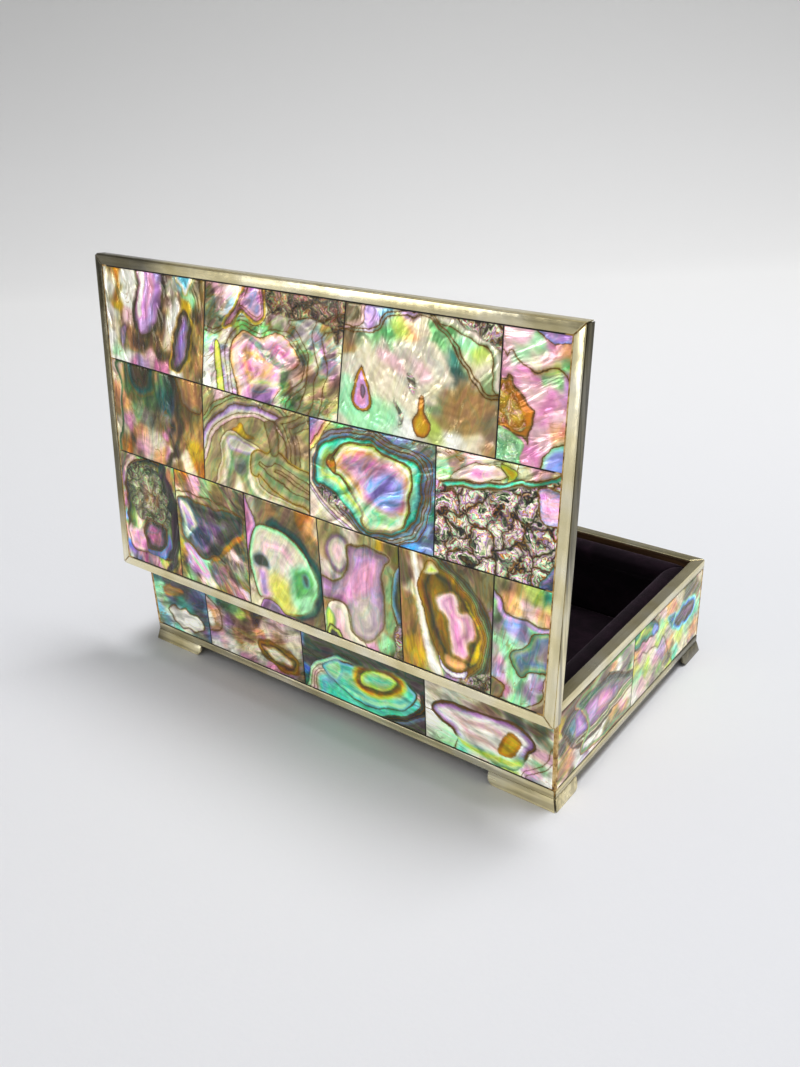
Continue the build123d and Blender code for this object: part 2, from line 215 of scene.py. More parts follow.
def read_tiles(text):
    """A row of tiles from text. Each starts with its seed, base colour and settings. A wash is soft patches of
    colour: across, down, reach and hue. Rough is the outline of a crackled part. The forms lie one on another."""
    tiles = []
    for entry in re.split(r"\n(?=[a-z])", text.strip()):
        kind, text = entry.split(None, 1)
        if kind == "tile":
            seed, base, *rest = text.split()
            rest = {name: float(value) if value[0].isdigit() else value for name, value in zip(rest[::2], rest[1::2])}
            tiles.append({"seed": int(seed), "base": base, "rough": [], "forms": [], **rest})
        elif kind == "wash":
            items = (item.split() for item in text.split(","))
            tiles[-1]["wash"] = [(float(x), float(y), float(reach), hue) for x, y, reach, hue in items]
        elif kind == "rough":
            tiles[-1]["rough"].append(outline_of(text))
        else:
            tiles[-1]["forms"].append(form(text))
    return tiles


def smooth_loop(points, steps=5):
    """A closed smooth curve through points."""
    p = np.array(points, float)
    before, after, far = np.roll(p, 1, 0), np.roll(p, -1, 0), np.roll(p, -2, 0)
    rows = []
    for t in np.linspace(0, 1, steps, endpoint=False):
        rows.append(
            0.5 * (2 * p + (after - before) * t + (2 * before - 5 * p + 4 * after - far) * t**2)
            + 0.5 * (3 * p - before - 3 * after + far) * t**3
        )
    return np.stack(rows, 1).reshape(-1, 2)


def depth_in(points, outline):
    """How deep each point lies in a closed outline, in mm, below 0 outside."""
    start = smooth_loop(outline)
    end = np.roll(start, -1, 0)
    nearest = np.full(len(points), np.inf)
    inside = np.zeros(len(points), bool)
    x, y = points.T
    for a, b in zip(start, end):
        run = b - a
        share = np.clip(((points - a) @ run) / max(run @ run, 1e-9), 0, 1)
        nearest = np.minimum(nearest, ((points - a - share[:, None] * run) ** 2).sum(1))
        if a[1] != b[1]:
            inside ^= ((a[1] > y) != (b[1] > y)) & (x < run[0] * (y - a[1]) / run[1] + a[0])
    return np.sqrt(nearest) * np.where(inside, 1, -1)


def waver(points, seed, reach, length):
    """Shifts points by a few crossed waves, so that no outline stays a plain arc."""
    draw = random.Random(seed)
    shifted = points.copy()
    for _ in range(5):
        angle = draw.uniform(0, math.tau)
        wave = length * draw.uniform(0.6, 1.5)
        phase = draw.uniform(0, math.tau)
        swing = np.sin((points @ np.array([math.cos(angle), math.sin(angle)])) * math.tau / wave + phase)
        push = draw.uniform(0, math.tau)
        shifted += reach / 2 * swing[:, None] * np.array([math.cos(push), math.sin(push)])
    return shifted


def shell_material(name, pattern):
    """Ground abalone: soft clouds of colour, bands and thin horny lines along the outlines, and silky folds, with
    painted light and shade on the folds, painted glints and crevices, painted shade beside the lines, and pillowed
    painted shade in the crackle.
    """
    made, shader, add = new_material(
        name, {"Metallic": 0.25, "Roughness": 0.2, "IOR": 1.5, "Coat Weight": 0.15, "Coat Roughness": 0.06}
    )
    shine, fold = pattern.get("shine", 1.0), pattern.get("fold", 1.0)
    face = add("Attribute", attribute_name="face_mm", out="Vector")
    turn = (0, 0, math.radians(pattern.get("streak", 60)))
    turned = add("Mapping", face, Rotation=turn)
    drawn = add("Mapping", turned, Scale=(0.4, 1, 1))
    silk = add("Mapping", turned, Scale=(0.1, 1, 1))
    silk = add("TexNoise", silk, 1 / silk_size, 2, 0.5)
    sway = add("TexNoise", face, 1 / sway_size, 3, 0.55)
    folds = add("TexNoise", drawn, 1 / fold_size, 2, 0.45, Distortion=1.4)
    pearl = add("TexNoise", drawn, 1 / pearl_size, 2, 0.45, Distortion=1.0)
    pearl = add("ValToRGB", pearl, stops=[(place, shell_colours[hue]) for hue, place in pearl_hues])

    # How far the colours' edges stray from the drawn outlines, in mm.
    ragged = add("TexNoise", face, 1 / ragged_size, 4, 0.6)
    ragged = add("Math", ragged, ragged_reach, -ragged_reach / 2, operation="MULTIPLY_ADD")
    frayed = add("TexNoise", face, 1 / frayed_size, 4, 0.7)
    frayed = add("Math", frayed, frayed_reach, -frayed_reach / 2, operation="MULTIPLY_ADD")
    ragged = add("Math", ragged, frayed, operation="ADD")

    # Painted light and shade of the silky folds: the fold noise that raises the bump also darkens and lightens the
    # colour.
    painted_fold_light_and_shade = add("MapRange", folds, 0.32, 0.68, 1 - 0.5 * fold, 1 + 0.62 * fold)
    silk_tone = add("MapRange", silk, 0.3, 0.7, 0.94, 1.06)
    tone = add("Math", silk_tone, painted_fold_light_and_shade, operation="MULTIPLY")

    def depth_of(attribute):
        depth = add("Attribute", attribute_name=attribute, out="Fac")
        return add("Math", depth, ragged, operation="ADD")

    def pearly(colour, depth):
        """A colour with the shell's pearl over it, and the thin layers that follow the depth, under the painted light
        and shade of the folds.
        """
        layers = tone
        for pace, swing, low, dark, bright in ((2.8, 11.0, -1, 0.9, 1.07), (8.0, 20.0, 0.75, 1, 1 - 0.14 * fold)):
            phase = add("Math", sway, swing, operation="MULTIPLY")
            phase = add("Math", depth, pace, phase, operation="MULTIPLY_ADD")
            layer = add("Math", phase, operation="SINE")
            layer = add("MapRange", layer, low, 1, dark, bright)
            layers = add("Math", layers, layer, operation="MULTIPLY")
        coats = ((0.34 * shine, pearl, "OVERLAY"), (0.07 * shine, pearl, "MIX"), (1, layers, "MULTIPLY"))
        for share, coat, mode in coats:
            colour = add("Mix", share, colour, coat, data_type="RGBA", blend_type=mode)
        return colour

    # Each coat of colour is how much of it shows, its colour and how it lies on those below.
    # Painted highlight and painted shade from one noise: soft white glints laid over the tiles last, and dark olive
    # crevices darkened into the colour.
    painted_glint = add("TexNoise", drawn, 1 / painted_glint_size, 2, 0.5, Distortion=0.8)
    painted_crevice_shade = add("MapRange", painted_glint, 0.36, 0.43, 0.5 * fold, 0, **smoothly)
    painted_glint = add("MapRange", painted_glint, 0.56, 0.66, 0, 0.55 * fold, **smoothly)
    vein = add("Math", folds, 0.53, operation="SUBTRACT")
    vein = add("Math", vein, operation="ABSOLUTE")
    vein = add("MapRange", vein, 0.002, 0.011, 0.75 * fold, 0, **smoothly)
    broken = add("TexNoise", face, 1 / vein_gap_size, 2, 0.5)
    broken = add("MapRange", broken, 0.45, 0.55, 0, 1)
    vein = add("Math", vein, broken, operation="MULTIPLY")
    coats = [(painted_crevice_shade, shell_colours["olive"], "MULTIPLY"), (vein, shell_colours["ochre"], "MIX")]
    relief = None
    for height, depth in ((folds, fold_depth), (silk, silk_depth)):
        relief = add("Bump", Distance=depth * MM, Height=height, Normal=relief)
    thick = add("TexNoise", face, 1 / thick_size, 2, 0.5)
    thick = add("MapRange", thick, 0.35, 0.65, 1.7, 0.75)
    rough_share = pattern.get("rough_share", 0)
    rough_after = min(pattern.get("rough_after", math.inf), len(pattern["forms"]))
    for i in range(len(pattern["forms"]) + 1):
        if rough_share and i == rough_after:
            part = add("MapRange", depth_of("rough"), -0.2, 0.5, 0, 1, **smoothly)
            bent = add("TexNoise", face, 1 / crack_bend_size, 3, out="Color")
            bent = add("VectorMath", bent, (crack_bend, crack_bend, 0), face, operation="MULTIPLY_ADD")
            cells = [
                add("TexVoronoi", bent, 1 / size, feature="DISTANCE_TO_EDGE", voronoi_dimensions="2D")
                for size in crack_sizes
            ]
            crust = add("TexNoise", face, 1 / crust_size, 2, 0.5)
            chips = add("TexNoise", bent, 1 / chip_size, 4, 0.6, Distortion=0.4)
            chips = add("ValToRGB", chips, stops=[(place, shell_colours[hue]) for hue, place in chip_hues])
            large, small = cells
            # Painted shade and highlight: each cell darker at its edges and brighter in the middle, so the crackle
            # looks pillowed.
            large_cell_painted_shade = add("MapRange", large, 0.02, 0.3, 0.4, 1.35)
            small_cell_painted_shade = add("MapRange", small, 0.0, 0.25, 0.7, 1.2)
            chip_coats = [(1, large_cell_painted_shade, "MULTIPLY"), (1, small_cell_painted_shade, "MULTIPLY")]
            for cell, seam, where, hue in (
                (large, (0.04, 0.09, 0.9, 0), (0.42, 0.55, 0, 1), "ochre"),
                (large, (0.01, 0.05, 1, 0), (0.35, 0.5, 0.4, 1), "charcoal"),
                (small, (0.01, 0.06, 0.8, 0), (0.45, 0.6, 1, 0.2), "charcoal"),
            ):
                seam = add("MapRange", cell, *seam)
                where = add("MapRange", crust, *where)
                seam = add("Math", seam, where, operation="MULTIPLY")
                chip_coats.append((seam, shell_colours[hue], "MIX"))
            if "rough_tint" in pattern:
                chip_coats.append((0.75, shell_colours[pattern["rough_tint"]], "MULTIPLY"))
            for share, coat, mode in chip_coats:
                chips = add("Mix", share, chips, coat, data_type="RGBA", blend_type=mode)
            coats.append((add("Math", part, rough_share, operation="MULTIPLY"), chips, "MIX"))
            hills = add("Math", small, 0.3, large, operation="MULTIPLY_ADD")
            hills = add("Math", hills, part, operation="MULTIPLY")
            relief = add("Bump", Distance=crack_depth * MM, Height=hills, Normal=relief)
        if i == len(pattern["forms"]):
            break
        depth = depth_of(f"form_{i}")
        bands, soft, lines, width = (pattern["forms"][i][key] for key in ("bands", "soft", "lines", "width"))
        if bands:
            first, last = bands[0][0], bands[-1][0]
            mask = add("MapRange", depth, first - soft, first + soft, 0, 1, **smoothly)
            if bands[-1][1] == "clear":
                inner = add("MapRange", depth, last - soft, last + soft, 1, 0, **smoothly)
                mask = add("Math", mask, inner, operation="MULTIPLY")
                bands = bands[:-1]
            span = max(bands[-1][0] - first, 0.1)
            stops = [((place - first) / span, shell_colours[hue]) for place, hue in bands]
            if len(stops) == 1:
                stops.append((1.0, stops[0][1]))
            fill = add("MapRange", depth, first, first + span, 0, 1)
            fill = add("ValToRGB", fill, stops=stops)
            coats.append((mask, pearly(fill, depth), "MIX"))
        for line in lines:
            near = add("Math", depth, line, operation="SUBTRACT")
            near = add("Math", near, operation="ABSOLUTE")
            near = add("Math", near, thick, operation="MULTIPLY")
            # Each line has a wide soft olive painted shade beside it, then its ochre edge and brown core.
            for start, end, share, hue, mode in (
                (0, 0.4 + width * 2.5, 0.4, "olive", "MULTIPLY"),
                (width * 0.3, width * 1.5, 0.75, "ochre", "MIX"),
                (width * 0.1, width * 0.6, 0.85, "brown", "MIX"),
            ):
                shade = add("MapRange", near, start, end, share, 0, **smoothly)
                coats.append((shade, shell_colours[hue], mode))
    # The painted white glints go on top of everything.
    coats.append((painted_glint, shell_colours["white"], "SOFT_LIGHT"))
    ground = add("Attribute", attribute_name="wash", out="Color")
    colour = pearly(ground, depth_of("form_0"))
    for share, coat, mode in coats:
        colour = add("Mix", share, colour, coat, data_type="RGBA", blend_type=mode)
    colour = add("Gamma", colour, 1.32)
    colour = add("HueSaturation", Saturation=1.08, Value=1.5, Color=colour)
    fill_inputs(shader, {"Base Color": colour, "Normal": relief})
    return made


def merged_copy(node, reach):
    """A CAD piece's mesh as a bmesh, with the points of its loose triangles joined."""
    shape = bmesh.new()
    shape.from_mesh(frame["nodes"][node].data)
    bmesh.ops.remove_doubles(shape, verts=shape.verts, dist=reach)
    return shape


def new_piece(name, shape, materials=()):
    """A piece made from a bmesh, in its place."""
    mesh = bpy.data.meshes.new(name)
    shape.to_mesh(mesh)
    shape.free()
    for made in materials:
        mesh.materials.append(made)
    for quad in mesh.polygons:
        quad.use_smooth = True
    piece = bpy.data.objects.new(name, mesh)
    bpy.context.scene.collection.objects.link(piece)
    return piece


def stand_in(piece, node, body):
    """Puts a piece on the body it rides on and hides the CAD piece it stands for."""
    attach(piece, body)
    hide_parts(node)


def tile_outlines(node, origin, right, down, out):
    """The outlines of the tiles of a CAD node on its outer face, in mm across and down, from left to right."""
    shape = merged_copy(node, same_place * MM)
    level = max((v.co - origin).dot(out) for v in shape.verts)
    left = set(shape.verts)
    outlines = []
    while left:
        island = [left.pop()]
        for vert in island:
            for edge in vert.link_edges:
                other = edge.other_vert(vert)
                if other in left:
                    left.remove(other)
                    island.append(other)
        top = [v.co - origin for v in island if (v.co - origin).dot(out) > level - same_level * MM]
        outlines.append([(p.dot(right) / MM, p.dot(down) / MM) for p in top])
    shape.free()
    outlines.sort(key=lambda outline: min(p[0] for p in outline))
    return outlines, level


def chain_at(chain, share):
    """The point at that share of a chain of points from left to right."""
    across = chain[0][0] + (chain[-1][0] - chain[0][0]) * share
    return across, float(np.interp(across, [p[0] for p in chain], [p[1] for p in chain]))


def shares(length):
    """The steps of a tile's grid along a side, closer together at its rounded edges."""
    inner = np.linspace(edge_round, length - edge_round, max(3, round(length / grid_step)))
    edge = edge_round * edge_share / length
    return [0.0, edge] + list(inner / length) + [1 - edge, 1.0]


def cut_tile(shape, outline, level, face, finish, pattern, layers):
    """Adds one tile to a mesh: a fine grid on top with rounded edges, sides and a flat back."""
    origin, right, down, out = face
    middle = sum(p[1] for p in outline) / len(outline)
    top = sorted(p for p in outline if p[1] < middle)
    bottom = sorted(p for p in outline if p[1] >= middle)
    wide, tall = (max(places) - min(places) for places in zip(*outline))
    across, along = shares(wide), shares(tall)
    points, drops = [], []
    for v in along:
        for u in across:
            x0, y0 = chain_at(top, u)
            x1, y1 = chain_at(bottom, u)
            points.append((x0 + (x1 - x0) * v, y0 + (y1 - y0) * v))
            rim = min(min(u, 1 - u) * wide, min(v, 1 - v) * tall)
            drops.append(edge_drop * max(0.0, 1 - rim / edge_round) ** 2)
    points = np.array(points)
    bent = waver(points, pattern["seed"], pattern.get("bend", bend_reach), bend_length)
    fields = {f"form_{i}": depth_in(bent, made["points"]) for i, made in enumerate(pattern["forms"])}
    if pattern["rough"]:
        fields["rough"] = np.max([depth_in(bent, part) for part in pattern["rough"]], axis=0)
    soft = waver(points, pattern["seed"] + 50, wash_bend_reach, wash_bend_length)
    weights = np.full(len(points), base_weight)
    colours = weights[:, None] * np.array(linear(shell_colours[pattern["base"]]))
    for x, y, reach, hue in pattern["wash"]:
        weight = np.exp(-wash_fall * ((soft - (x, y)) ** 2).sum(1) / reach**2)
        weights += weight
        colours += weight[:, None] * np.array(linear(shell_colours[hue]))
    colours /= weights[:, None]
    verts = []
    for i, (x, y) in enumerate(points):
        vert = shape.verts.new(origin + right * (x * MM) + down * (y * MM) + out * (level - drops[i] * MM))
        vert[layers["face_mm"]] = (x, y, pattern["seed"] * tile_apart)
        vert[layers["wash"]] = colours[i]
        for key, field in fields.items():
            vert[layers[key]] = float(field[i])
        verts.append(vert)
    n, rows = len(across), len(along)
    corners = [(verts[k], verts[k + n], verts[k + n + 1], verts[k + 1])
               for j in range(rows - 1) for k in range(j * n, j * n + n - 1)]
    loop = list(range(n)) + [n * j + n - 1 for j in range(1, rows)]
    loop += [n * (rows - 1) + i for i in range(n - 2, -1, -1)] + [n * j for j in range(rows - 2, 0, -1)]
    back = []
    for k in loop:
        vert = shape.verts.new(verts[k].co - out * (tile_thickness - edge_drop) * MM)
        for layer in layers.values():
            vert[layer] = verts[k][layer]
        back.append(vert)
    for i in range(len(loop)):
        after = (i + 1) % len(loop)
        corners.append((verts[loop[i]], verts[loop[after]], back[after], back[i]))
    for ring in corners + [back]:
        shape.faces.new(ring).material_index = finish


def lay_tiles(node, face, patterns, body):
    """One set of tiles in place of a CAD node, each with its own pattern."""
    outlines, level = tile_outlines(node, *face)
    shape = bmesh.new()
    layers = {"face_mm": shape.verts.layers.float_vector.new("face_mm")}
    layers["wash"] = shape.verts.layers.float_color.new("wash")
    for key in ["rough"] + [f"form_{i}" for i in range(max(len(pattern["forms"]) for pattern in patterns))]:
        layers[key] = shape.verts.layers.float.new(key)
    for i, (outline, pattern) in enumerate(zip(outlines, patterns)):
        cut_tile(shape, outline, level, face, i, pattern, layers)
    bmesh.ops.recalc_face_normals(shape, faces=shape.faces)
    finishes = [shell_material(f"ground_abalone_{node}_{i + 1}", pattern) for i, pattern in enumerate(patterns)]
    stand_in(new_piece(node + "_cut", shape, finishes), node, body)


def reach_of(node, direction, pick):
    """How far a CAD piece reaches along a direction."""
    return pick(v.co.dot(direction) for v in frame["nodes"][node].data.vertices)


# Places on each face are in mm, across from its left end and down from its top, as seen from outside.
rim_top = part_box("rim_angle_rear")[1][2]
open_angle = -math.radians(frame["joints"][0]["range_deg"][0])
lid_down = Vector((0, math.cos(open_angle), -math.sin(open_angle)))
lid_out = Vector((0, math.sin(open_angle), math.cos(open_angle)))
lid_origin = Vector((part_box("lid_edge_right")[1][0], 0, 0))
lid_origin += lid_down * reach_of("lid_edge_front", lid_down, min)
lid_origin += lid_out * reach_of("lid_face_strip_front", lid_out, max)
lid_face = (lid_origin, Vector((-1, 0, 0)), lid_down, lid_out)
wall_faces = {}
for side, x, y, right, out in (
    ("rear", wall_right, wall_rear, (-1, 0, 0), (0, 1, 0)), ("left", wall_left, wall_rear, (0, -1, 0), (-1, 0, 0)),
    ("front", wall_left, wall_front, (1, 0, 0), (0, -1, 0)), ("right", wall_right, wall_front, (0, 1, 0), (1, 0, 0)),
):
    wall_faces[side] = (Vector((x, y, rim_top)), Vector(right), Vector((0, 0, -1)), Vector(out))

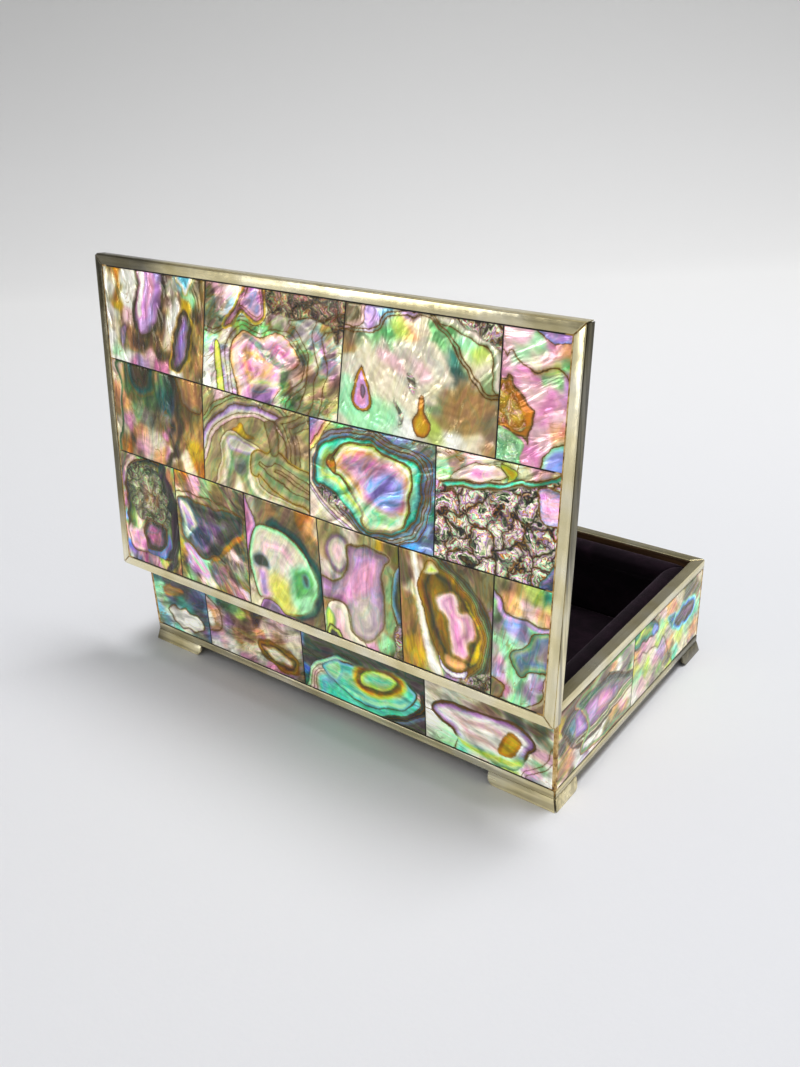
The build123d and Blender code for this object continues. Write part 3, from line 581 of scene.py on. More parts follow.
# The tiles that the photograph's side shows, row by row from the left.
lid_rows = {"lid_shell_row_1": """
tile 1 tan streak 88 bend 0.6 shine 0.5 fold 0.75
wash 3 8 2.4 white, 3 16 2.4 white, 3.5 24 2.4 white, 6.5 6 1.4 cream, 9 5 1.6 amber, 9.3 9 1.6 ochre,
8.5 13 1.4 gold, 7 20 1.6 cream, 13.5 6 2.4 white, 13 11 2 white, 12.5 16 1.6 blush, 7 27 2 mint, 5 31 1.8 white,
10 28 2 white, 12 31 2 rose, 17 22 1.6 umber, 21 21 1.8 umber, 25.5 16 1.6 umber, 27.5 9 1.8 umber, 27 3 1.4 taupe,
20 27 1.8 blush, 17 29 1.8 lilac, 25 25 1.8 umber, 25 29 2 rose, 21 33 2 white, 30.5 6 1.6 pearl, 32 12 1.8 white,
31 17 1.8 white, 29 21 1.5 cream, 35.5 4.5 1.6 sky, 38 8 1.4 mint, 38 3 1.2 teal, 36.5 11 1.2 gold,
39.5 12 1.8 umber, 40 18 2 tan, 40 6 1.4 taupe, 29 27 1.6 umber, 32 25 1.4 violet, 31 31 1.8 white, 37 22 1.8 umber,
37 28 2 tan, 40 25 2 tan, 40 31 2 taupe
form 17 -2, 27 -2, 28 8, 25.6 14, 22.4 18.8, 18.6 20.6, 15.2 19, 14.6 15, 16.6 10, 17.6 5 | -0.6 umber, 0.5 umber,
1.3 mauve, 2.2 lilac, 3.4 lilac, 5 pink | 0.7
form 18.5 2, 20.5 4, 20 10, 18 15, 16.5 16.5, 16.6 12.5, 17.8 7 | 0 pink, 0.9 white | 0.7
form 35.5 12, 37.8 15, 37 20.5, 34.5 26.5, 31.3 28.6, 29.2 27.7, 29.8 24, 31.5 18.5, 33.3 14.5 | -0.8 gold, 0 umber,
0.8 umber, 1.6 mauve, 2.6 violet | 0.6
form 8.3 20, 10 17.5, 11.5 19, 11 23.5, 9.5 26, 8.2 24 | 0 umber, 0.9 mauve | 0.8
form 32.5 -2, 33 4, 37 7.4, 39 4, 40 -2 | 0 gold, 0.7 white, 1.6 sky | 0.5
tile 2 pearl streak 35 rough_share 0.9 rough_tint tan rough_after 8
rough 66.5 0, 92 0, 92 9, 88.5 14, 87 10, 84 9, 80 8.5, 76 9.5, 71 8.7, 67 8.3
wash 45 5 2 taupe, 44 9 2 taupe, 47 7 1.4 slate, 52 6 3 blush, 54 8 2 sky, 50 5 2 pink, 55 4 2 cream, 43 13 2 slate,
47 13 2.2 taupe, 43 18 2 mint, 44 24 2.4 white, 43 29 2 white, 45.6 20 1.1 lilac, 46 27 1.1 blush, 68 5 1.6 lime,
78 10 3 grey, 79 16 2 sage, 78 22 2 khaki, 83 14 2.2 mauve, 86 10 1.6 tan, 86.5 19 2 mauve, 85 27 3 khaki,
80 29 2.4 khaki, 88.5 24 2 taupe, 74 29 2 leaf, 77 26 1.6 cream, 72 31 1.6 green, 49.8 20 1.2 lilac,
49.8 26 1.2 lilac, 51 30 1.2 lilac, 55 13 1 lime, 58 12.8 1.1 green, 61 13.8 1.3 green, 65 13.2 1.2 green,
70 12.2 1.4 sage, 74 12.6 1.2 umber, 52 18 0.9 cream, 51.6 24 0.9 cream, 76.5 17 1.2 umber, 78 19.5 1 deep_teal,
73 27 1.4 tan, 60 12 1 tan, 55 11 1 olive, 70 10.5 1.3 grey, 67 11 1.3 olive
form 42 15.5, 47 15.8, 50.5 14.7, 54 12.3, 57 11.7, 61 12.2, 64 11.5, 66.2 9.5, 66.8 7, 66 -2, 100 -2, 100 40,
40 40, 40 15 | | | 0 -1 | 0.14
form 54.5 14.3, 57 12.6, 61 13.6, 64 14, 68 12.9, 72 12.2, 75 13.5, 78 17, 79.5 20, 78.5 24, 75 28, 71.5 31, 70 36,
53 36, 51.3 29, 50.8 24, 50.8 20, 52 16.8 | | | 0 1.4 | 0.13
form 55.5 15.3, 58 14, 62 15, 66 14.5, 70 13.3, 73 15, 76 18.5, 76.3 20, 73.5 22, 71 26, 68 29, 66.5 31.5, 66 36,
56 36, 54.5 29, 53 25, 52.3 21, 53 18 | 0 peach, 1.4 blush, 3.5 pink, 5.5 peach, 7.5 pink | | 0
form 57 15, 62 18.2, 68 22, 72 21, 67 17.5, 61 15.2 | 0 mauve, 1 grey | 0.6
form 65 16, 70 15.5, 73 18.5, 70 20, 66.5 18 | 0 pink, 1 rose | 1.4
form 70 22.5, 74 21, 72.5 25.5, 70.5 28, 68.8 26 | 0 sage, 1 leaf | 1.2
form 59 29.5, 63 27.5, 68 27, 67 29.5, 65.5 35, 60 35 | 0 lilac, 1 mauve | 1.2
form 58 26.8, 64 25.8, 69 26, 64 27.5 | 0 cream, 1 lime | 0.9
form 84.5 8, 82 10, 80.8 12.5, 82 17.5, 82.6 20.5, 81.2 24, 81 28, 79.5 36, 100 36, 100 8 | | | 0 3 | 0.15
form 74.5 9.5, 76 12, 78.5 15, 79.8 18, 79 22, 78 26, 76.5 30, 75.5 36, 100 36, 100 9 | | | 0 | 0.15
form 46.5 19, 47.5 17.5, 49 19, 48.8 24, 49.5 31, 50 36, 46.5 36, 46.8 28, 46.2 23 | 0 lime, 0.9 yellow | | 0
form 59.5 0, 63.5 0, 65 6, 64.5 9.5, 62 11, 59.5 10, 57 9.3, 55 10.5, 53 12.8, 50.5 14, 51.5 12, 54.5 9, 57 6,
58.5 4 | -0.9 gold, -0.2 tan, 0.1 rose, 1.2 pink, 2.2 lilac | 0.2 | 0 0.8 | 0.12
tile 3 pearl streak 70 shine 0.3 fold 0.2 rough_share 0.8
rough 120 0, 138 0, 138 9, 132 8, 128 5.5, 123 4.5
rough 109.5 17.6, 112 17.6, 111.7 21.8, 110.3 21
rough 106 22.5, 107 25, 109 27, 108 30, 106 30.5, 107.5 27.5, 105.6 25
wash 92 5 2.2 taupe, 94 7 1.6 pearl, 92 10 1.6 taupe, 92 13 2 tan, 99 5 2.4 lilac, 102.5 4 1.6 sky,
110 2.8 1.5 lilac, 96 10.5 1.5 leaf, 100 10.4 2 green, 104 9.2 1.8 green, 107.5 7.8 1.8 lime, 110.5 8 2 peach,
113 6.5 1.8 cream, 117 7.2 1.6 green, 119 9.4 1.5 green, 121 12 1.5 teal, 123 15 1.5 deep_teal, 124.3 14 1.1 sage,
123 9.5 1.2 mint, 119 3.6 1.3 aqua, 121 5.5 1.2 green, 125.5 8.6 1.8 mint, 128.5 10.5 2 lime, 130 12.8 1.8 cream,
131 16.5 2 sage, 127 12.5 1.5 cream, 128.5 15.5 1.4 cream, 98 12.5 1.8 cream, 103 13.5 2.2 blush, 106 15 1.8 blush,
100 16 2 cream, 108 12 2.2 pearl, 113 12 1.8 pearl, 118 12 2.2 pearl, 114 15 2.6 blush, 111 17.5 2 pearl,
119 16.5 1.8 pearl, 95 15 1.4 pearl, 92.5 17 1.4 pearl, 92 26 2.6 mint, 96 30 2.6 mint, 103 22 3.4 cream,
104 28 3.4 mint, 110 24 2.6 cream, 109 30 2.6 white, 100.5 19.5 2 cream, 101 27 2.2 mint, 117.5 19.5 1.6 cream,
123 21 3.4 tan, 129 20.5 3.4 tan, 126 25 3.6 tan, 131.5 25 2.6 taupe, 121 25.5 2.6 tan, 118 23.5 1.8 sage,
118 29 2.2 lime, 122.5 31 2.4 white, 128 31 2.4 cream, 132.5 31 1.6 tan
form 110 10.5, 113 9.5, 117 9.8, 119.5 12, 121 15, 122.5 17.3, 119 17.5, 115 15, 112 12.5 | 0 cream, 1.2 pearl | 1
form 97.6 -2, 97.2 4.5, 96 7, 93 8.8, 88 10, 80 10, 80 -2 | 0 blush, 1.5 taupe | | 0
form 114 -2, 116 3.6, 120 4.8, 124 6, 130 8.3, 132 10.3, 132.2 14, 134 18.5, 142 18, 142 -2 | 0 sage, 1.2 pearl,
2.5 taupe | | 0 | 0.24
form 86 10, 91 9.6, 95 9.4, 99 9, 101.5 7.8, 103.5 5.2, 106 4.3, 111 4.4, 113 3.6, 116 4, 118.5 6.2, 121 8.2,
124 12, 126 15, 129 17.5, 131 19, 138 22, 138 44, 86 44 | | | 0 -0.9 | 0.3
form 96.2 17.6, 97.6 20, 98.6 23.5, 99.2 26.5, 98.3 28, 96.5 28.5, 94.3 27.5, 93.2 25.5, 93.3 23, 94.5 20.5 |
0 gold, 0.5 amber, 0.9 lilac, 1.8 pink | | 0
form 95.6 21.8, 96.8 21.5, 97 24, 96.3 25, 95.5 23.8 | 0 umber, 0.5 mauve | 0.3
form 114 21, 114.8 23, 114.3 25.5, 116.3 27.5, 115.8 30, 114.6 31.5, 112.5 31.3, 111.2 29, 112.3 26, 113 23 |
0 ochre, 0.5 amber, 1.4 gold | | 0 | 0.12
tile 4 pink streak 20 shine 0.5 fold 0.4 rough_share 0.35 rough_after 4
rough 135 15, 137.3 15.5, 139 19, 141 22, 140 25, 136 24, 133 23
rough 133 26, 138 26.5, 140 29, 138 34, 133 34
wash 137 5 2.2 blush, 139 8 2.2 mint, 142 9 1.8 cream, 137 7.3 1.2 pink, 147 8 1.8 pink, 149 7 1.8 peach,
147 10 1.3 lime, 150 9.5 1.4 green, 143 6.5 1.3 mint, 139 13 1.8 pink, 142 13.5 1.4 pink, 144.8 13 1.3 green,
148 13 1.3 green, 150.5 14.5 1.4 lilac, 143 17 2.6 blush, 148 17 2.6 pink, 150 20 1.8 blush, 146 22 2.8 pink,
145 25 2.2 blush, 149 24 2.2 peach, 144 29 2 pink, 149.5 28.5 1.8 mint, 148 31 1.8 sage
form 133 10.3, 135.3 9.3, 136.3 8.1, 138 9.2, 140 10.9, 142 11.8, 144 11.5, 146 10.9, 148 10.5, 149.5 11.5,
151 12.7, 155 14, 155 44, 131 44 | | | 0 | 0.22
form 142 2.2, 143.5 4, 146 5.1, 149 5, 154 4.6, 154 -2, 141 -2 | 0 periwinkle, 1 lilac | | 0
form 131 14.5, 135 14.2, 136.3 12.8, 137.3 14.5, 138.6 16.4, 141 18, 143 20.2, 142.6 22.5, 142 25, 141.5 27.5,
140.5 26.3, 138 26, 136.3 25, 131 24 | 0 umber, 0.5 amber, 2 amber, 3.2 gold | | 0 | 0.2
form 131 25.5, 136.5 25.5, 139.5 26.5, 140.8 28.5, 140.3 30.5, 139.5 36, 131 36 | 0 sage, 1 mint | 0.3
form 145.6 36, 145.8 30, 147 27.8, 149 26.6, 154 26.3, 156 36 | 0 mint, 1.5 periwinkle | | 0 | 0.2
""", "lid_shell_row_2": """
tile 5 tan streak 88 bend 0.6 shine 0.5 fold 0.8
wash 4 33 2.2 pearl, 7 33 1.8 tan, 6 38 2 peach, 4 42 2.6 tan, 4 50 2.8 cream, 9.5 33 1.6 leaf, 10 36 1.4 leaf,
13 32 1.8 deep_teal, 16 34 2.4 umber, 20 32 1.6 peach, 21.5 34 1.1 sage, 17 37 1.4 charcoal, 12 39 2.2 olive,
20 39 2.6 leaf, 25 33 2.4 leaf, 25 38 3 deep_teal, 28 34 2.2 deep_teal, 29 38 1.6 indigo, 9 42 1.6 peach,
8 47 1.6 pink, 13 43 2.6 sage, 17 45 2.6 grey, 21 46 2.2 taupe, 25 43 1.3 grey, 25 48 1.1 pink, 25 54 1.1 pink,
14 50 2.4 peach, 14 54 2.2 pink, 16 52 2.2 blush, 10 52 1.6 umber, 7 54 1.8 amber, 20 50 2.2 pearl, 21 56 2.2 peach,
28 46 1.8 charcoal, 29 52 1.3 umber, 33 33 2.4 umber, 36 35 2.2 tan, 35 40 2.6 olive, 33 46 2.8 tan, 38 43 2.2 tan,
36 51 2.2 gold, 38 55 2.2 amber, 32 53 1.4 cream, 30 56 1.8 tan, 27 54 1.4 cream, 34 56 1.6 cream, 17 56.5 2 pearl,
12 58 2 taupe
form 9 22, 10 35, 13 38.5, 17 39, 20.5 36.5, 21.5 32, 22 22 | -0.3 leaf, 0.6 olive, 1.8 deep_teal, 3.4 umber | 0.5
form 9 28, 7 37, 5.5 43, 5 50, 6 70, 60 70, 60 28 | -0.2 cream, 0.3 leaf, 1.2 clear | 0.6
form 30.8 22, 31 38, 31.5 44, 30.5 49, 29 53, 26 56, 25 70, 60 70, 60 22 | -1.6 umber, 0 umber, 0.5 clear | 0.7
form 31 22, 31.5 36, 34 38.3, 38 39.5, 41 36, 44 22 | -0.3 ochre, 0.6 taupe, 2.4 tan | 0.3 | 0 | 0.25
tile 6 khaki streak 55 shine 0.5 fold 0.75
wash 42 34 2.2 khaki, 47 33 1.8 blush, 50.5 32 1.4 cream, 44 37 1.8 khaki, 60 31.5 2.6 khaki, 70 33 2.8 khaki,
75 36 2.6 khaki, 77 42 2.4 taupe, 41.6 45.5 1.2 blue, 45 41 1.1 sky, 42 50 1.8 cream, 43 55 2 blush,
45 48 1.6 lilac, 55 37 1.4 pearl, 70 44 2.4 grey, 74 48 2.8 taupe, 68 50 2.6 sage, 75 54 2.8 grey, 66 56 2 mint,
58 60 2 yellow, 45 58 2 lime
form 40 47, 41 44, 44 40.5, 47 38, 51 35.8, 56 34.3, 61 33.6, 65 34.2, 69 35.8, 73 38.8, 76 42, 80 46, 84 60, 60 80,
34 64 | -3.4 khaki, -2.4 sage, -1.4 khaki, -0.4 mauve, 0.3 lilac, 1.1 pearl, 1.7 cream, 2.5 blush, 3.2 khaki,
4.6 khaki | 0.3 | -3.2 -2.1 -0.6 1.5 2.9 | 0.13
form 68 36, 70 39, 71.5 44, 72 50, 84 58, 84 32 | 0 taupe, 1.5 khaki, 3 taupe, 5 khaki | 0.5 | 0 1.5 3 4.6 | 0.13
form 47 45.4, 49 42.6, 52 41.7, 54.5 42.2, 57 42.5, 60 43.5, 63 45.5, 66 44.8, 65.5 48, 61 50, 61 54, 64 56,
82 59.5, 82 68, 42 68, 45 56, 47 50 | 0 cream, 1 khaki, 2.6 cream, 4 sage, 6 khaki, 8 cream | | 0
form 50 43.8, 56 43.4, 61 45.8, 57 47.5, 51 47 | 0 lilac, 1 pearl | 0.8
form 52 49, 56 48.5, 57 52, 54 54, 51 52 | 0 sage, 1 grey | 0.9
form 51.5 41.6, 53.5 40.2, 55.3 38.7, 57 40.8, 60 41.8, 57 42.3, 54.5 42 | 0 ochre, 0.8 gold | 0.2
form 66.5 44.5, 64 45.6, 61 45.3, 59 46.8, 58 48.8, 58 51, 59 52.7, 60.6 53, 61.3 52.2, 62 52.8, 64 54, 70 56.3,
78 58.3, 83 60, 83 50, 76 47, 70 45 | -0.3 gold, 0.7 khaki, 2 sage, 4 khaki | 0.3 | 0.1 3 4.8 | 0.2
form 63.8 37, 67 36.5, 68.5 40, 68.3 45, 66 45.5, 65 41 | 0 olive, 1 taupe | 0.8 | 0 | 0.14
tile 7 steel streak 40 rough_share 0.9
rough 82.5 50.5, 84 49.8, 86 51.3, 89 52, 93 55.2, 91 55.4, 87 54, 84 53.6
wash 81 34 2.2 violet, 81 37 1.8 rose, 84 34 1.3 yellow, 80.3 42 1.6 cream, 80 50 2.2 blush, 81 56 2.4 white,
86.5 34.6 1.3 lime, 90 33.3 1.6 green, 95 34 1.8 steel, 101 34 2 steel, 108 34.5 2.8 steel, 114 35 2.8 grey,
117.3 40 1.8 steel, 117.3 50 2 deep_teal, 116 56 2 steel, 112 59.3 2.2 blue, 86 57 2.4 cream, 92 59 2 blush
form 104 34, 109 35.3, 114.3 35.8, 117 38, 117 44, 116.6 50, 115 55, 112 58, 108 60, 108 66, 70 66, 70 30, 95 30,
100 32.5 | -0.4 blue, 0.6 steel, 1.6 clear | 0.4 | 0 | 0.3
form 81 49, 81 44, 81.7 41, 84 38.7, 87 37, 90 36, 94 35.3, 98 35, 102 36.3, 106 36.8, 110 37.3, 113 38.3, 114.3 40,
114.2 43, 114 46, 113 50, 111.5 54, 109 56.5, 105 58, 101 58.8, 97 58.5, 92 55, 88 51.5, 84 50 | -2.3 steel,
-1.4 grey, -0.7 steel, 0 deep_teal, 0.5 teal, 1.1 aqua, 2.1 mint, 3.2 lime, 4.6 mint | 0.3 | -2.1 -1.1 0 | 0.22
form 72 30, 82 32, 82.4 38, 80.6 42, 80.1 46, 80.5 50, 84 53, 88 55.6, 92 58, 97 61, 100 70, 72 70 | 0 blush,
0.7 cream, 1.4 lilac, 2 white, 3 cream | 0.3 | 0 1.1 2 | 0.12
form 76 28, 86 32, 83.5 36, 81 40, 76 42 | 0 yellow, 1 peach, 1.8 pink, 3 violet | 0.5 | 0 1.3 | 0.12
form 85.5 43.3, 87.3 41, 88.3 39, 90 38, 93 37.2, 96 36.5, 99.5 36.6, 102 37.8, 105 38.2, 108.5 38.8, 110.8 40.3,
111.7 43, 111 47, 110.8 51, 109.5 54.5, 107 56, 104 57.2, 101 58, 98.5 58, 96.5 56.5, 96.5 54, 94 50.5, 91.5 47.5,
89 46, 87 45.6 | -0.5 umber, 0.2 lime, 1.1 cream, 2 peach, 4 pink, 6 lilac | 0.15 | 0 | 0.3
form 97 40.5, 103 39.5, 107.5 41, 104 44, 99 47, 96 44 | 0 pink, 2 rose | 2
form 99 44, 104 42, 108.5 43.5, 109.3 48, 106 52, 101 52, 98 50, 97.5 47 | 0 lilac, 1.2 periwinkle, 3 periwinkle | 2
form 93.5 49.5, 99 51.5, 104 52.2, 109 52.5, 107 55.6, 101 57.6, 98 57.3, 96.8 55 | 0 pearl, 1.6 mint | 1.4
form 84.8 43.2, 87 41.3, 87.6 43.5, 87 45.8 | 0 ochre, 0.8 amber | | 0
tile 8 cream streak 20 rough_share 1 rough_after 3
rough 115 42.5, 122 41.4, 128 40.8, 134 40, 139 38.5, 144 37, 148 35.5, 155 34.5, 155 70, 115 70
wash 120 34 1.8 cream, 120 37.5 1.8 mint, 122.5 34.5 1.8 taupe, 125 34 1.3 taupe, 128 35.5 2.2 pink,
133 36 2.2 cream, 136 35 1.3 lime, 142 34 1.8 pearl, 146 33.5 2.2 pink, 148.5 34.6 1.4 lime, 130 38.2 1.8 peach,
139 37 1.4 teal
form 122 39.2, 125 36.3, 129 34.5, 134 33.8, 137 35, 135.5 37, 131 38.3, 126 39 | 0 cream, 1 blush, 2 pink | | 0 |
0.12
form 135.5 33.5, 137.5 33, 139.4 34, 139 36, 137 37.4, 137.5 35.5 | 0 lime, 0.8 gold | | 0 | 0.12
form 115 41.6, 119 41, 121.5 40, 126 39.3, 130 38.9, 134 38.2, 137 37.2, 140 36, 143 35.6, 146 35, 149 33.8, 155 33,
155 70, 115 70 | 0 slate, 0.8 aqua, 1.3 taupe, 2 grey | | 0 1.5 | 0.3
form 145.3 37, 149 36.5, 155 38, 155 43, 149 45, 146.5 43.5, 145.3 40 | 0 ochre, 0.5 lilac, 2.4 pink | 0.6 | 0 | 0.2
form 156 50.5, 152 51.5, 150 54, 148.5 57, 147 60, 150 66, 158 62 | 0 teal, 0.8 violet, 2 indigo | | 0
""", "lid_shell_row_3": """
tile 9 sage streak 75 bend 0.6 rough_share 0.8 rough_tint sage rough_after 3
rough 6 62, 12 59.5, 19 59.5, 22.5 64, 24 70, 23.5 76, 21 80, 15 77, 9 76, 6 70
wash 3.5 64 1.8 mauve, 4.5 70 1.3 rose, 4.5 73 1.3 pink, 4 77 1.4 periwinkle, 3.5 83 1.4 pink, 5 87 1.8 blue,
7 90 1.8 violet, 11 89.5 1.8 rose, 16 89.5 1.8 pink, 20 88.5 1.8 lime, 22 86.5 1.4 mint, 6 61 1.4 blush,
8 59.5 1.4 blush, 4 60 1.8 taupe, 25 62 1.8 tan, 26 88 2.2 tan, 24 91 2.2 tan, 3 91 1.8 pearl
form 8 60.5, 11 58.5, 16 57.5, 20 58, 22.5 61, 24 65.5, 25.8 70, 26 76, 25.5 82, 23.5 87, 18 88, 13 87.6, 8 88.4,
5 85, 4.2 80, 5 74, 4.6 69, 5.2 64 | -0.2 charcoal, 0.8 charcoal, 1.6 olive, 3.4 sage, 5 cream, 8 olive | 0.3 | 0 |
0.4
form 13 66, 20 67, 20.5 72, 15 73.5, 11.5 70 | 0 cream, 2 peach | 1
form 5 80, 7 81, 12 80.5, 12 84, 13 87, 9 88, 6 86, 4.5 83 | 0 blush, 1.4 pink | 0.8
form 22 56, 24.5 63, 26.5 69, 27.3 76, 26.8 84, 24 90, 21 92, 23 87, 24 81, 23.8 75, 23.4 69, 21.8 64, 20 60 |
0 charcoal, 1 charcoal | 0.5
form 12 79, 15 76.5, 19 76.5, 21.5 79, 21.5 83, 19 85.8, 14.5 86, 12 83.5 | 0 charcoal, 1.3 umber, 2 mauve, 3 rose |
0.3 | 0 | 0.4
form 13 86.5, 18 86.3, 21 84, 22.5 80, 23.5 80, 23 85, 20 87.8, 15 88 | 0 blue, 0.8 violet | 0.5
tile 10 taupe streak 130
wash 28 60 1.8 amber, 31 60 1.8 amber, 34 61.5 2.2 pink, 40 60.5 1.8 sage, 44 61.5 2.6 olive, 50 61 2.6 taupe,
27 62 1.8 cream, 28.5 66 1.3 pearl, 28 75 1.8 tan, 27 83 2 gold, 28 90 1.8 tan, 31 90 1.6 mint, 34 85 2.2 lilac,
38 86 2 mint, 43 87 2.8 mauve, 46 83 2.8 taupe, 50 80 2.6 blush, 51 76 1.5 umber, 53.5 78 1.3 slate, 52 83 1.8 sage,
52 87 2 olive, 49 87.5 1.4 pink, 52 90.5 1.8 pink, 46 91 2.6 tan, 39 91 1.8 pearl
form 26 64, 30 63.3, 36 63.8, 44 64.2, 50 65.2, 58 66, 58 50, 26 50 | | | 0 | 0.2
form 28 66.5, 30 65.3, 36 65.8, 44 66.2, 53 66, 54.5 69, 53.5 71.5, 49 75.5, 45.5 78.5, 43 80.5, 40 82.5, 37 83,
33.5 80.3, 30 78.5, 28.8 73.5, 28.3 70 | -0.2 ochre, 0.4 slate, 1.8 charcoal, 4 slate, 6 indigo | 0.3 | 0 | 0.26
form 33 73, 38 71.5, 43 73, 41 78, 37.5 81, 33 78.5 | 0 mauve, 2 indigo | 1.2
form 28.5 67, 31 66.5, 34.5 70, 36 73, 34 75, 31 78, 29.5 75 | 0 steel, 1.2 pearl, 2 lilac | 0.9
form 54.3 71, 53.8 72.8, 49 77, 44.5 81, 40 84.3, 41.5 82, 46 77.5, 50 73.5 | 0 ochre, 0.8 amber | 0.4
form 29 80, 32 80.2, 35 82.5, 38 85, 40 87.2, 38 89, 35 88, 31 84 | 0 lilac, 1.2 pink, 2 mint | 0.5
tile 11 taupe streak 60 shine 0.5 fold 0.5
wash 57 62 1.8 pearl, 60 61 1.8 taupe, 65 62 1.8 tan, 70 61 2.2 taupe, 76 61 1.8 amber, 79 63 2.2 peach,
78 67 1.8 tan, 81 62 1.3 cream, 56 89 1.8 cream, 60 91 2.2 cream, 57 84 1 cream, 66 90 1.8 lilac, 71 92 2 lilac,
77 90.5 2.4 taupe, 81 86.5 1.8 taupe, 67 65 1.2 slate
form 64 63.5, 70 64, 75 66.2, 79 69.6, 83 74, 84.5 81, 82 87, 79 90, 72 92.3, 66 89.8, 62 86, 62 70 | 0 taupe,
0.8 slate, 1.6 deep_teal, 3 charcoal | 0.7
form 57.5 69, 60 66.8, 64 66.2, 68 66.2, 72 67.8, 76 70.4, 79 74, 81.2 77.6, 81.4 80, 80 83.5, 78.8 86.5, 76 88.8,
72 90.2, 68.5 89.5, 65 87.8, 62 87.7, 60 88, 57.8 85, 56.4 80, 56.5 74 | 0 sage, 0.6 mint, 1.8 cream, 3.4 pearl,
5.4 blush, 7 pearl | 0.2 | 0 | 0.22
form 62 85, 65 79, 70 80, 74 86, 72 91, 66 90 | 0.6 yellow, 2 yellow | 2.4
form 57.6 76.3, 59 75, 61.5 74.8, 63.3 76.3, 64 78.5, 62.5 79.3, 59.5 79.3, 57.8 78.3 | 0 steel, 0.8 slate,
1.6 slate | 1.1
form 59 80, 62.5 79.8, 63.5 83, 64 87, 61.5 88, 60 85.5 | 0 blush, 1.5 lilac | 1.2
form 72 83, 75 81, 79 83, 79 87, 75 88.5, 72.5 87 | 0 mint, 2 mint | 1.8
form 72 77, 75 74.5, 79 75, 81 78, 80.6 82, 78 84, 74 86, 72 83 | 0 mint, 2 green | 1.8
form 75.6 77.5, 77 76.8, 78.2 78, 78.3 80, 76.6 80.3 | 0 steel, 0.8 slate | 0.9
form 61 89.3, 65 88.6, 70 90.8, 73 91.5, 72 96, 60 96 | 0 lilac, 1 mauve | | 0 | 0.12
form 53 58, 57 62.5, 58.5 66.5, 57.3 70, 56 75.5, 54 77 | 0 lilac, 1 pink, 2 rose | | 0 | 0.18
tile 12 khaki streak 85 shine 0.5 fold 0.55 rough_share 0.6
rough 107 82, 112 80, 112 96, 106.5 96, 107 87
wash 84 62 2.2 khaki, 83 66 1.8 khaki, 84 73 2.6 pearl, 85 77.5 2.6 mauve, 90 76.5 2.2 lilac, 83 83 1.8 tan,
84 88 1.8 cream, 88 61 2 khaki, 92 61 1.8 pearl, 97 61 2.2 khaki, 101 62.2 1.4 gold, 105 62 1.4 olive,
104.4 67 1.1 sage, 105 74 1.4 sage, 105 82 1.4 sage, 104.5 89 1.6 mint, 107 72 1.3 sage, 108 64 1.4 olive,
108 78 1.4 slate, 108 86 1.4 umber, 106.5 91 1.8 olive, 98 92 2.4 pink, 92 61.5 1 cream
form 84.3 66, 85.5 63, 88 61.8, 91 63, 92.3 67, 91.4 70.5, 89.3 72.6, 87 71.8, 85 69.5 | -0.5 taupe, 0.5 mauve,
1.6 pearl, 3 blush | 0.7
form 91.6 70, 91.3 66, 92 64.3, 95 63.7, 98 63.1, 101 63.3, 104.3 64, 104.6 65, 103 67.3, 102.6 70, 103 74,
103.8 79, 103.6 82, 103 85, 101 88, 98 89.4, 95 89.7, 93.5 88, 92.5 84, 91.5 81.5, 89.5 80.6, 86.5 80.8, 83.5 81.5,
81 80, 82 75.5, 87 75.5, 90 73.8 | -0.5 khaki, 0.1 taupe, 0.9 mauve, 2 dusk, 3.4 lilac, 5 dusk | 0.3 | 0 | 0.12
form 92 74, 96 68, 101 67, 100 74, 97 76, 94 79, 90 79 | 0 pink, 2 pink | 2.4
form 94 79, 99 77, 102 80, 101 87, 96 89, 93 84 | 1 pearl, 3 pearl | 4
form 85 84, 85.6 82, 87.5 80.9, 90 81, 91.4 82.3, 92.3 85.5, 93.5 88.8, 95.5 90.3, 98 90.6, 102 97, 82 97, 84.6 88 |
0 cream, 1.5 pearl, 3 blush | | 0 | 0.12
form 84 95, 84.6 85, 86.5 84.5, 87.2 87, 87 90, 88 95 | 0 green, 0.8 lime | 0.5
form 84 97, 85 89, 87.5 88.8, 89.5 90.3, 91.5 97 | 0 leaf, 0.8 lime, 1.5 slate | | 0 | 0.14
form 107.6 66, 109.5 63, 114 64, 114 84, 108 82, 106.6 78, 105.7 74, 106.2 70 | 0 sage, 0.7 steel, 1.6 slate,
2.5 olive | 0.4 | 0
tile 13 tan streak 100 shine 0.6 fold 0.6 rough_share 0.5
rough 125 92, 130 88.5, 138 85, 138 97, 124 97
wash 111 66 2.6 taupe, 112 80 3 tan, 113 88 3 gold, 110 90 2.6 tan, 113 64 1.6 cream, 113.2 70 1.6 cream,
114.3 77 1.6 tan, 119.5 89 1.8 mint, 124 92 1.8 lilac, 130 62 2.6 taupe, 134 65 2.6 taupe, 134 72 2.2 mauve,
135 80 1.8 mauve, 132 88 2.6 olive, 134 91 2.6 umber, 126 62.5 1.6 taupe, 120 60.5 1.6 taupe, 112 74 2 tan
form 112.6 58, 114.2 66, 115.2 73, 117 80, 119.3 86, 122 91, 119.6 92, 116.6 85, 114.6 77, 113.2 69, 111.6 60 |
-0.6 khaki, 0 cream, 0.7 white | 0.6
form 100 60, 117 61.5, 120 62.3, 124 64.5, 128 67.5, 131 71, 133.2 75.5, 133.3 80.5, 132 85.5, 129 89, 125 94,
100 100 | -3 taupe, -1.8 slate, -0.9 sage, -0.2 tan, 0.4 clear | 0.4 | -2.6 -1.8 -1.2 -0.6 | 0.1
form 115.5 63.5, 117 61.8, 120 62.3, 124 64.5, 128 67.5, 131 71, 133.2 75.5, 133.3 80.5, 132 85.5, 129 88.8, 125 90,
